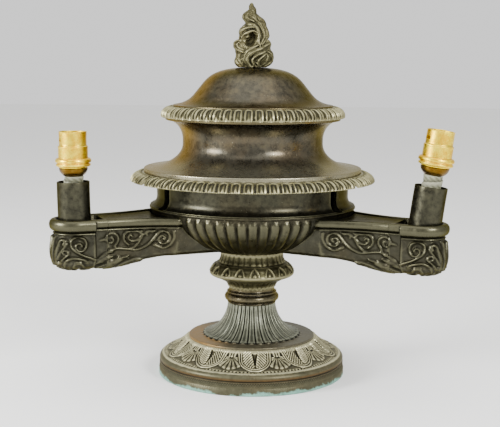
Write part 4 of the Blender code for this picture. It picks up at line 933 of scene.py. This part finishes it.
def arm_cover(side, label):
    """The dished plate on the ledges between the rails."""
    rows, columns, thickness = 40, 25, 2.2
    across = np.linspace(-1.0, 1.0, columns)[None, :]
    share = np.linspace(0.0, 1.0, rows)[:, None]
    s = np.full((rows, columns), 110.0)
    for _ in range(12):
        w = across * (arm_half_width(s) - 5.9)
        near = np.sqrt(105.2 ** 2 - w ** 2)
        s = near + (JOINT_S - 3.0 - near) * share
    top = LEDGE_Z + 0.3 + thickness - 1.4 * (1.0 - across ** 2)
    upper = arm_place(side, s, w, top - 0.5 * (1.0 - ramp(1.0 - np.abs(across), 0.0, 0.06)))
    lower = arm_place(side, s, w, top - thickness)
    piece(label + "_arm_cover", CAST, np.concatenate([upper, lower[:, ::-1]], 1), over=False,
          caps=end_caps(rows, 2 * columns, columns), full=0.4)


def nozzle_end(side, label):
    """The boat-shaped end round the burner tube, with a step to its thicker rail, and the palmette."""
    straight = NOZZLE_S - JOINT_S
    whole = 2.0 * (straight + 0.5 * math.pi * NOZZLE_R)
    run = np.linspace(0.0, whole, 181)[:, None]
    from_joint = np.minimum(run, whole - run)
    on_arc = np.clip(from_joint - straight, 0.0, None) / NOZZLE_R
    face = np.where(2.0 * run <= whole, -1.0, 1.0)
    half_w = JOINT_HALF_W + (NOZZLE_R - JOINT_HALF_W) * np.clip(from_joint / straight, 0.0, 1.0)
    centre_s = np.minimum(JOINT_S + from_joint, NOZZLE_S)
    keel = keel_z(centre_s)
    seam = STEP_S - JOINT_S
    w, z = (part[:, FLAT:] for part in section_at(half_w, keel, ramp(from_joint, seam, seam + 0.5)))
    down, v = unrolled_side(w, z, CARVED_FROM)
    to_keel = down[:, -1:] - down
    height = soften(carve(JOINT_S + from_joint, v, CARVING)) * ramp(to_keel, 0.0, 1.0)
    height *= ramp(z[:, CARVED_FROM:CARVED_FROM + 1] - v, -0.3, 1.0)
    height[:, :CARVED_FROM] = 0.0
    cut = np.where(np.abs(from_joint - seam) < 0.45, 0.7, 0.0) * (np.arange(w.shape[1]) > 3)
    reach = np.where(to_keel < 0.5, w, w + height - cut)
    low = z - 0.5 * height * (1.0 - ramp(z, keel, keel + 12.0))

    def placed(r, height):
        return arm_place(side, centre_s + r * np.sin(on_arc), face * r * np.cos(on_arc), height)

    well = np.array([(0.0, 147.0), (9.0, 147.0), (17.6, 147.0), (18.0, 147.6), (18.0, 168.8), (18.4, 169.5),
                     (19.2, 169.8)])
    grid = np.concatenate([placed(well[:, 0], well[:, 1]), placed(reach, low)], 1)
    rows, count = grid.shape[:2]
    cap = [*range(count), *range(rows * count - 1, (rows - 1) * count - 1, -1)]
    made = piece(label + "_nozzle_end", CAST, grid, around=False, over=False, caps=[cap], passes=6, full=0.4)

    def painted_shade_in_well(azimuth, r, z, old):
        """Painted shade in the burner tube's well: its floor and walls come out dark and mirror less."""
        turn = np.radians(azimuth - side * ARM_AZIMUTH)
        from_middle = np.hypot(np.clip(r * np.cos(turn) - NOZZLE_S, 0.0, None), r * np.sin(turn))
        return np.where((from_middle < 18.6) & (z > 140.0), 0.0, old)

    paint(made, "raised", painted_shade_in_well)


# Burner tubes, wrapped stems and lampholders
LEAN_PIVOT_Z = 158.0
SEAT_TOP = 147.3
TUBE_TOP = 204.8
TUBE_R, TAPE_R = 15.7, 9.6
CAP_H, GAP = 7.5, 0.3


def leaning(side, lean, base_z):
    """Where a burner piece stands: over the nozzle end, leaning outwards."""
    x, y, _ = arm_place(side, NOZZLE_S, 0.0, 0.0)
    pivot = Matrix.Translation(Vector((x, y, LEAN_PIVOT_Z)) * MM)
    turn = Matrix.Rotation(math.radians(side * lean), 4, "Y")
    return pivot @ turn @ Matrix.Translation(Vector((0.0, 0.0, base_z - LEAN_PIVOT_Z)) * MM)


def bayonet_slot(azimuth):
    """A cutter for an L-shaped bayonet slot through the lampholder's wall."""
    outline = [(-1.4, 36.0), (-1.4, 25.0), (6.0, 25.0), (6.0, 28.0), (1.4, 28.0), (1.4, 36.0)]
    made = prism("slot", outline, 8.0, 17.0)
    out, across = outwards(azimuth)
    made.data.transform(Matrix(((*across, 0.0), (0.0, 0.0, 1.0), (*out, 0.0))).transposed().to_4x4())
    return made


def burner(side, label, tube_lean, holder_lean, tape_top_h):
    """Burner tube, tape-wrapped stem, cap, bayonet lampholder and shade ring."""
    tube_z = SEAT_TOP + TUBE_R * math.sin(math.radians(tube_lean))
    tube_h = TUBE_TOP - tube_z
    tube = moulding([(TUBE_R, 0.0), (TUBE_R, tube_h - 0.3), (15.3, tube_h), (14.8, tube_h),
                     (14.4, tube_h - 0.4), (14.4, 0.0)], 4.0, 0.2)

    def dents(azimuth, run, r, z):
        """Shallow dents in the thin tube, deeper towards its top."""
        wave = 1.0 + np.sin(np.radians(3 * azimuth + 40 * side) + 0.09 * z)
        return -0.14 * wave * ramp(z, 8.0, 40.0) * (r > 15.0)

    piece(label + "_burner_tube", CAST, turned(tube, 64, dents), matrix=leaning(side, tube_lean, tube_z),
          passes=2, full=0.35)

    tape_z = SEAT_TOP + TAPE_R * math.sin(math.radians(holder_lean))
    tape_top = LEAN_PIVOT_Z + tape_top_h
    length = tape_top - tape_z

    def wraps(azimuth, run, r, z):
        """Turns of tape that overlap, with frayed edges."""
        turn = ((length - z) / 9.0 + side * azimuth / 360.0 + 0.35) % 1.0
        fray = 0.1 * np.sin(np.radians(9 * azimuth) + 1.3 * z)
        return (-0.95 * ramp(turn, 0.0, 0.93) + fray * ramp(turn, 0.2, 0.5)) * (r > 5.0)

    tape = [(0.0, 0.0), *moulding([(9.0, 0.0), (TAPE_R, 1.2), (TAPE_R, length - 0.4), (8.8, length)], 0.75),
            (0.0, length)]
    piece(label + "_tape_wrap", TAPE, turned(np.array(tape), 72, wraps), over=False,
          matrix=leaning(side, holder_lean, tape_z), full=0.3)

    cap_z = tape_top + GAP
    cap = [(0.0, 0.0), *bezier((9.2, 0.0), (11.0, 1.4), (13.5, 3.6), (13.6, 7.1), 12), (13.2, CAP_H),
           (0.0, CAP_H)]
    piece(label + "_lampholder_cap", CAP_BRASS, turned(np.array(cap), 96), over=False,
          matrix=leaning(side, holder_lean, cap_z), full=0.5, sharp=40.0)

    holder_z = cap_z + (CAP_H + GAP)
    barrel = [(13.6, 0.0), (14.0, 0.6), (14.0, 18.6), (14.2, 19.2), (14.1, 20.0), (13.2, 20.7), (13.0, 21.4),
              (13.0, 33.2), (13.2, 33.8), (13.0, 34.0), (12.5, 34.0), (12.1, 33.6), (12.1, 12.0)]
    barrel = [(0.0, 0.0), *moulding(barrel, 1.5, 0.25), (7.0, 12.0), (0.0, 12.0)]

    def crumple(azimuth, run, r, z):
        """The barrel's thin upper rim is pressed out of round."""
        wave = np.sin(np.radians(2 * azimuth + 70 * side)) + 0.6 * np.sin(np.radians(5 * azimuth))
        return 0.18 * wave * ramp(z, 26.0, 34.0) * (r > 12.6)

    piece(label + "_lampholder", BRASS, turned(np.array(barrel), 96, crumple), over=False,
          matrix=leaning(side, holder_lean, holder_z), cutters=[bayonet_slot(-78.0), bayonet_slot(102.0)],
          full=0.35, sharp=40.0)

    ring = [(14.3, 0.0), (15.0, 0.0), (16.3, 0.8), (16.5, 1.8), (15.9, 2.7), (15.3, 3.1), (15.6, 3.6),
            (16.8, 4.2), (17.1, 5.4), (16.7, 6.8), (15.8, 7.8), (14.9, 8.0), (14.3, 8.0)]
    piece(label + "_shade_ring", BRASS, turned(moulding(ring, 0.8, 0.3), 80),
          matrix=leaning(side, holder_lean, holder_z + 1.0), full=0.4)


# Flame finial: x and heights as the front shows them, measured from its seat
FLAME_Z, FLAME_H, FLAME_R = 312.1, 64.2, 20.6
FLAME_OUTLINE = [
    # height, left edge, right edge
    (0.0, -14.9, 12.3), (1.3, -16.8, 15.2), (3.8, -18.9, 18.3), (7.0, -19.7, 20.3), (10.3, -18.1, 21.1),
    (13.6, -17.8, 20.2), (16.8, -19.0, 18.5), (20.1, -20.5, 17.2), (23.4, -20.6, 17.8),
    (26.6, -19.1, 17.0), (28.7, -15.1, 15.3), (31.5, -14.7, 16.5), (34.8, -15.4, 16.0),
    (38.1, -14.3, 14.6), (41.3, -11.6, 13.2), (43.8, -8.4, 12.5), (46.2, -9.6, 11.4), (48.7, -11.6, 9.2),
    (51.1, -11.8, 6.0), (53.6, -10.5, 3.2), (56.0, -7.3, 3.1), (57.7, -5.5, 3.1), (59.3, -5.7, 2.2),
    (60.9, -5.4, 0.6), (62.6, -4.4, 0.0), (63.6, -3.6, -0.8), (64.2, -2.2, -2.2),
]
LOCKS = [
    # Round the base
    ([(-12.1, 0.5), (-16.9, 4.6), (-18.7, 9.5), (-17, 15.2), (-13.8, 19.3)], 2.4, 1.0, 2.6, "lock"),
    ([(-10.1, 1.7), (-13.3, 5.4), (-14.3, 10.3), (-13, 15.2), (-11.6, 18.5)], 1.8, 0.8, 2.2, "lock"),
    ([(-6.9, 0), (-8.9, 4.6), (-9.3, 8.7), (-8.2, 12.7)], 1.8, 1.2, 2.0, "lock"),
    ([(-12.9, 0), (-10.5, 2.9), (-10.9, 5.8)], 1.5, 0.8, 2.2, "lock"),
    ([(-0.5, 0), (0.7, 2.9), (-0.5, 5.8)], 1.3, 0.6, 3.6, "stem"),
    ([(4.8, 0), (5.1, 2.5), (3.5, 5)], 1.3, 0.6, 3.2, "stem"),
    ([(11.2, 0.5), (17.2, 2.1), (19.8, 7), (18.9, 12.3), (15.9, 15.6)], 2.9, 1.4, 3.0, "lock"),
    ([(9.9, 2.1), (13.5, 5), (15.1, 9.5), (15.1, 13.2)], 2.0, 1.0, 2.4, "lock"),
    # The three that sweep across from lower left to upper right
    ([(-5.3, 2.1), (-8.8, 7.4), (-7.5, 12.7), (-4.2, 16.4), (0.6, 19.3), (5.4, 22.1)], 2.4, 1.6, 2.8,
     "lock"),
    ([(-1.7, 0), (-4.9, 4.6), (-5.1, 9.5), (-1.8, 13.6), (3.8, 16.8), (9.4, 19.3), (14.2, 22.5),
      (17.4, 25)], 2.7, 1.6, 3.4, "lock"),
    ([(3.2, 0), (0.6, 4.6), (0.7, 8.7), (4.7, 12.3), (10.3, 14.8), (15, 18.1)], 2.3, 1.4, 3.0, "lock"),
    ([(8, 0), (5.9, 3.3), (7.1, 7.8), (11.1, 11.5), (14.3, 14.4)], 2.0, 1.0, 2.6, "lock"),
    # Curls at the edges
    ([(11.8, 18.5), (16.2, 20.5), (17.6, 23.8), (15.8, 27.4)], 2.4, 1.2, 2.6, "lock"),
    ([(-9.4, 14.8), (-14.6, 16.8), (-19.3, 19.7), (-19.8, 23.8), (-17.1, 26.6), (-13.1, 27)], 2.6, 1.2,
     3.0, "lock"),
    ([(-10.6, 17.6), (-15, 19.7), (-16.4, 23), (-13.9, 25)], 1.8, 0.8, 2.4, "lock"),
    ([(-10.3, 29.9), (-13.9, 31.9), (-14.5, 35.6), (-13.2, 38.9), (-9.2, 40.9)], 2.2, 1.4, 2.4, "lock"),
    # The upright tress at the right and the arch over the hollow
    ([(4.8, 50.7), (9.6, 47.5), (12.6, 41.7), (15.3, 35.2), (15, 29.9)], 2.5, 1.4, 2.6, "lock"),
    ([(0.4, 49.5), (5.2, 45), (9.3, 39.3), (11.3, 33.2), (10.2, 27.4), (7.8, 22.5)], 2.3, 1.8, 3.0,
     "lock"),
    ([(1.2, 42.1), (5.1, 37.7), (6.8, 31.5), (6.2, 25.8), (7.8, 20.1)], 2.0, 1.6, 3.2, "lock"),
    ([(14.1, 29.9), (11.8, 25.8), (9.4, 22.5)], 1.8, 1.2, 2.6, "lock"),
    ([(-14.5, 29.1), (-13.8, 34.4), (-9.5, 38.2), (-3.1, 39.9), (3.3, 39.7)], 2.0, 1.6, 2.8, "lock"),
    ([(-12.7, 25.8), (-10.3, 31.1), (-5.5, 34.4), (0.1, 36), (4.5, 34.4)], 1.7, 1.2, 3.4, "lock"),
    # The tip
    ([(2.1, 41.3), (-2.8, 43), (-7.6, 44.4), (-10.6, 47.5), (-11, 51.1), (-8.9, 54.2), (-5.3, 56.7)], 2.4,
     1.4, 2.8, "lock"),
    ([(0.4, 45.8), (-4, 47.7), (-6.4, 50.3), (-5.6, 53.6), (-2.9, 55.6)], 1.8, 1.0, 3.0, "lock"),
    ([(3.2, 47), (1.6, 50.7), (1.2, 54.4), (-1.3, 56.8)], 2.0, 1.0, 2.6, "lock"),
    ([(6.4, 47), (4.4, 50.3), (2.8, 53.6), (1.8, 56.4), (-0.1, 58.6)], 1.8, 1.2, 2.2, "lock"),
]
HOLLOW, HOLLOW_HALF_W, HOLLOW_HALF_H, HOLLOW_DEPTH = (-3.1, 27.4), 8.2, 7.6, 7.0
FLAME_INSET = 2.2  # how far the body lies inside the outline, so that the locks reach it


def flame():
    """Locks in relief over a body with the photograph's outline; sides and back repeat the front turned."""
    rows, columns = 150, 290
    z = np.linspace(0.0, FLAME_H, rows)[:, None]
    heights, left, right = np.array(FLAME_OUTLINE).T
    middle = 0.5 * (np.interp(z, heights, left) + np.interp(z, heights, right))
    half_w = 0.5 * (np.interp(z, heights, right) - np.interp(z, heights, left))
    even = np.ones(31) / 31.0
    depth = np.convolve(np.pad(half_w[:, 0], 15, mode="edge"), even, mode="valid")[:, None]
    depth = np.minimum(depth, half_w + 1.5 * ramp(FLAME_H - z, 0.0, 8.0))

    def unrolled(x, height):
        at = np.interp(height, z[:, 0], middle[:, 0])
        wide = max(np.interp(height, z[:, 0], half_w[:, 0]), 0.5)
        return wide * math.asin(max(-0.97, min(0.97, (x - at) / wide)))

    marks = [([(unrolled(x, height), height) for x, height in points], *rest) for points, *rest in LOCKS]
    azimuth = np.arange(columns)[None, :] * 360.0 / columns
    relief, pit = np.zeros((2, rows, columns))
    for turn, mirrored, sunk in ((0.0, 1.0, 0.0), (180.0, 1.0, 0.0), (90.0, -1.0, 1.0), (270.0, -1.0, 1.0)):
        u = mirrored * np.radians((azimuth - turn + 180.0) % 360.0 - 180.0) * half_w
        near = 1.0 if sunk == 0.0 else ramp(np.cos(np.radians(azimuth - turn)), 0.4, 0.7)
        relief = np.maximum(relief, (carve(u, z, marks) - sunk) * near)
        if sunk == 0.0:
            inside = 1.0 - np.hypot((u - unrolled(*HOLLOW)) / HOLLOW_HALF_W, (z - HOLLOW[1]) / HOLLOW_HALF_H)
            pit = np.maximum(pit, ramp(inside, 0.0, 0.5))
    strands = 0.5 * np.abs(np.cos(math.pi * (np.radians(azimuth) * half_w - 0.9 * z) / 2.4))
    relief = soften(np.where(relief > 0.0, relief, strands * (1.0 - pit) - HOLLOW_DEPTH * pit))
    share = np.clip(half_w / 12.0, 0.0, 1.0)
    inset = FLAME_INSET * share
    angle = np.radians(azimuth)
    out = relief * share * ramp(FLAME_H - z, 0.0, 1.5)
    x = middle + (np.clip(half_w - inset, 0.0, None) + out) * np.sin(angle)
    y = -(np.clip(depth - inset, 0.0, None) + out) * np.cos(angle)
    far = np.maximum(np.hypot(x, y) / FLAME_R, 1.0)
    body = np.stack(np.broadcast_arrays(x / far, y / far, z), -1)
    ends = [np.full((1, columns, 3), (middle[row, 0], 0.0, height))
            for row, height in ((0, 0.0), (-1, FLAME_H))]
    grid = np.concatenate([ends[0], body[:-1], ends[1]]) + np.array([0.0, 0.0, FLAME_Z])
    piece("flame_finial", CHASED, grid, over=False, passes=10, full=0.9, sharp=60.0)


for make in (foot, stem, bead, knop, bowl, neck, collar, upper_ring, reservoir, dome, flame):
    make()
# Side, its name, the leans of its tube and its lampholder, and how far its tape reaches above the pivot
BRANCHES = (-1, "left", 1.4, 0.6, 52.0), (1, "right", 7.5, 8.0, 57.5)
for side, label, tube_lean, holder_lean, tape_top_h in BRANCHES:
    arm(side, label)
    arm_cover(side, label)
    nozzle_end(side, label)
    burner(side, label, tube_lean, holder_lean, tape_top_h)

# The solids underneath take the finish of their slot
material_of = {slot_name: material for material, slot_name in (CAST, TURNED, CHASED, BRASS, TAPE)}
for part in frame["record"]["subparts"]:
    materials = frame["nodes"][part["node"]].data.materials
    materials.clear()
    materials.append(material_of[part["material_slot"]])

# Floor, light and camera
FLOOR_REACH = 6.0  # metres, wide enough to fill the picture
floor_mesh = bpy.data.meshes.new("floor")
corners = [(x * FLOOR_REACH, y * FLOOR_REACH, 0.0) for x, y in ((-1, -1), (1, -1), (1, 1), (-1, 1))]
floor_mesh.from_pydata(corners, [], [(0, 1, 2, 3)])
floor = bpy.data.objects.new("floor", floor_mesh)
bpy.context.scene.collection.objects.link(floor)
# Matt painted board: an even near-white with no gloss
pale, _, pale_shader = blank("pale_floor")
pale_shader.inputs["Base Color"].default_value = tint("#F4F4F2")
pale_shader.inputs["Roughness"].default_value = 0.8
floor_mesh.materials.append(pale)
floor.location.z = -0.4 * MM

world = bpy.data.worlds.new("studio")
bpy.context.scene.world = world
world.use_nodes = True
world.node_tree.nodes["Background"].inputs["Color"].default_value = tint("#FFFFFF")
world.node_tree.nodes["Background"].inputs["Strength"].default_value = 1.1


def softbox(name, place, target_z, size, power):
    """A square light that faces the lamp's axis at a height; lengths in metres, power in watts."""
    data = bpy.data.lights.new(name, "AREA")
    data.shape = "RECTANGLE"
    data.size = data.size_y = size
    data.energy = power
    made = bpy.data.objects.new(name, data)
    made.location = place
    made.rotation_euler = (Vector((0.0, 0.0, target_z)) - Vector(place)).to_track_quat("-Z", "Y").to_euler()
    bpy.context.scene.collection.objects.link(made)


softbox("overhead_softbox", (0.0, -0.3, 1.5), 0.2, 1.5, 14.0)
softbox("left_softbox", (-1.5, -0.8, 0.75), 0.22, 0.55, 48.0)
softbox("right_softbox", (1.15, -1.35, 1.15), 0.22, 0.55, 40.0)

# The camera that fits the photograph: its axes in the first three columns, its place in the last
camera_data = bpy.data.cameras.new("camera")
camera_data.sensor_width = 36.0
camera_data.lens = 82.156
camera = bpy.data.objects.new("camera", camera_data)
camera.matrix_world = Matrix((
    (0.9987968802, -0.0137903765, 0.0470587648, 0.0525424145),
    (0.0485164262, 0.1383361667, -0.9891962409, -1.1537957191),
    (0.0071314606, 0.9902892709, 0.1388387978, 0.3259283006),
    (0.0, 0.0, 0.0, 1.0),
))
bpy.context.scene.collection.objects.link(camera)
bpy.context.scene.camera = camera
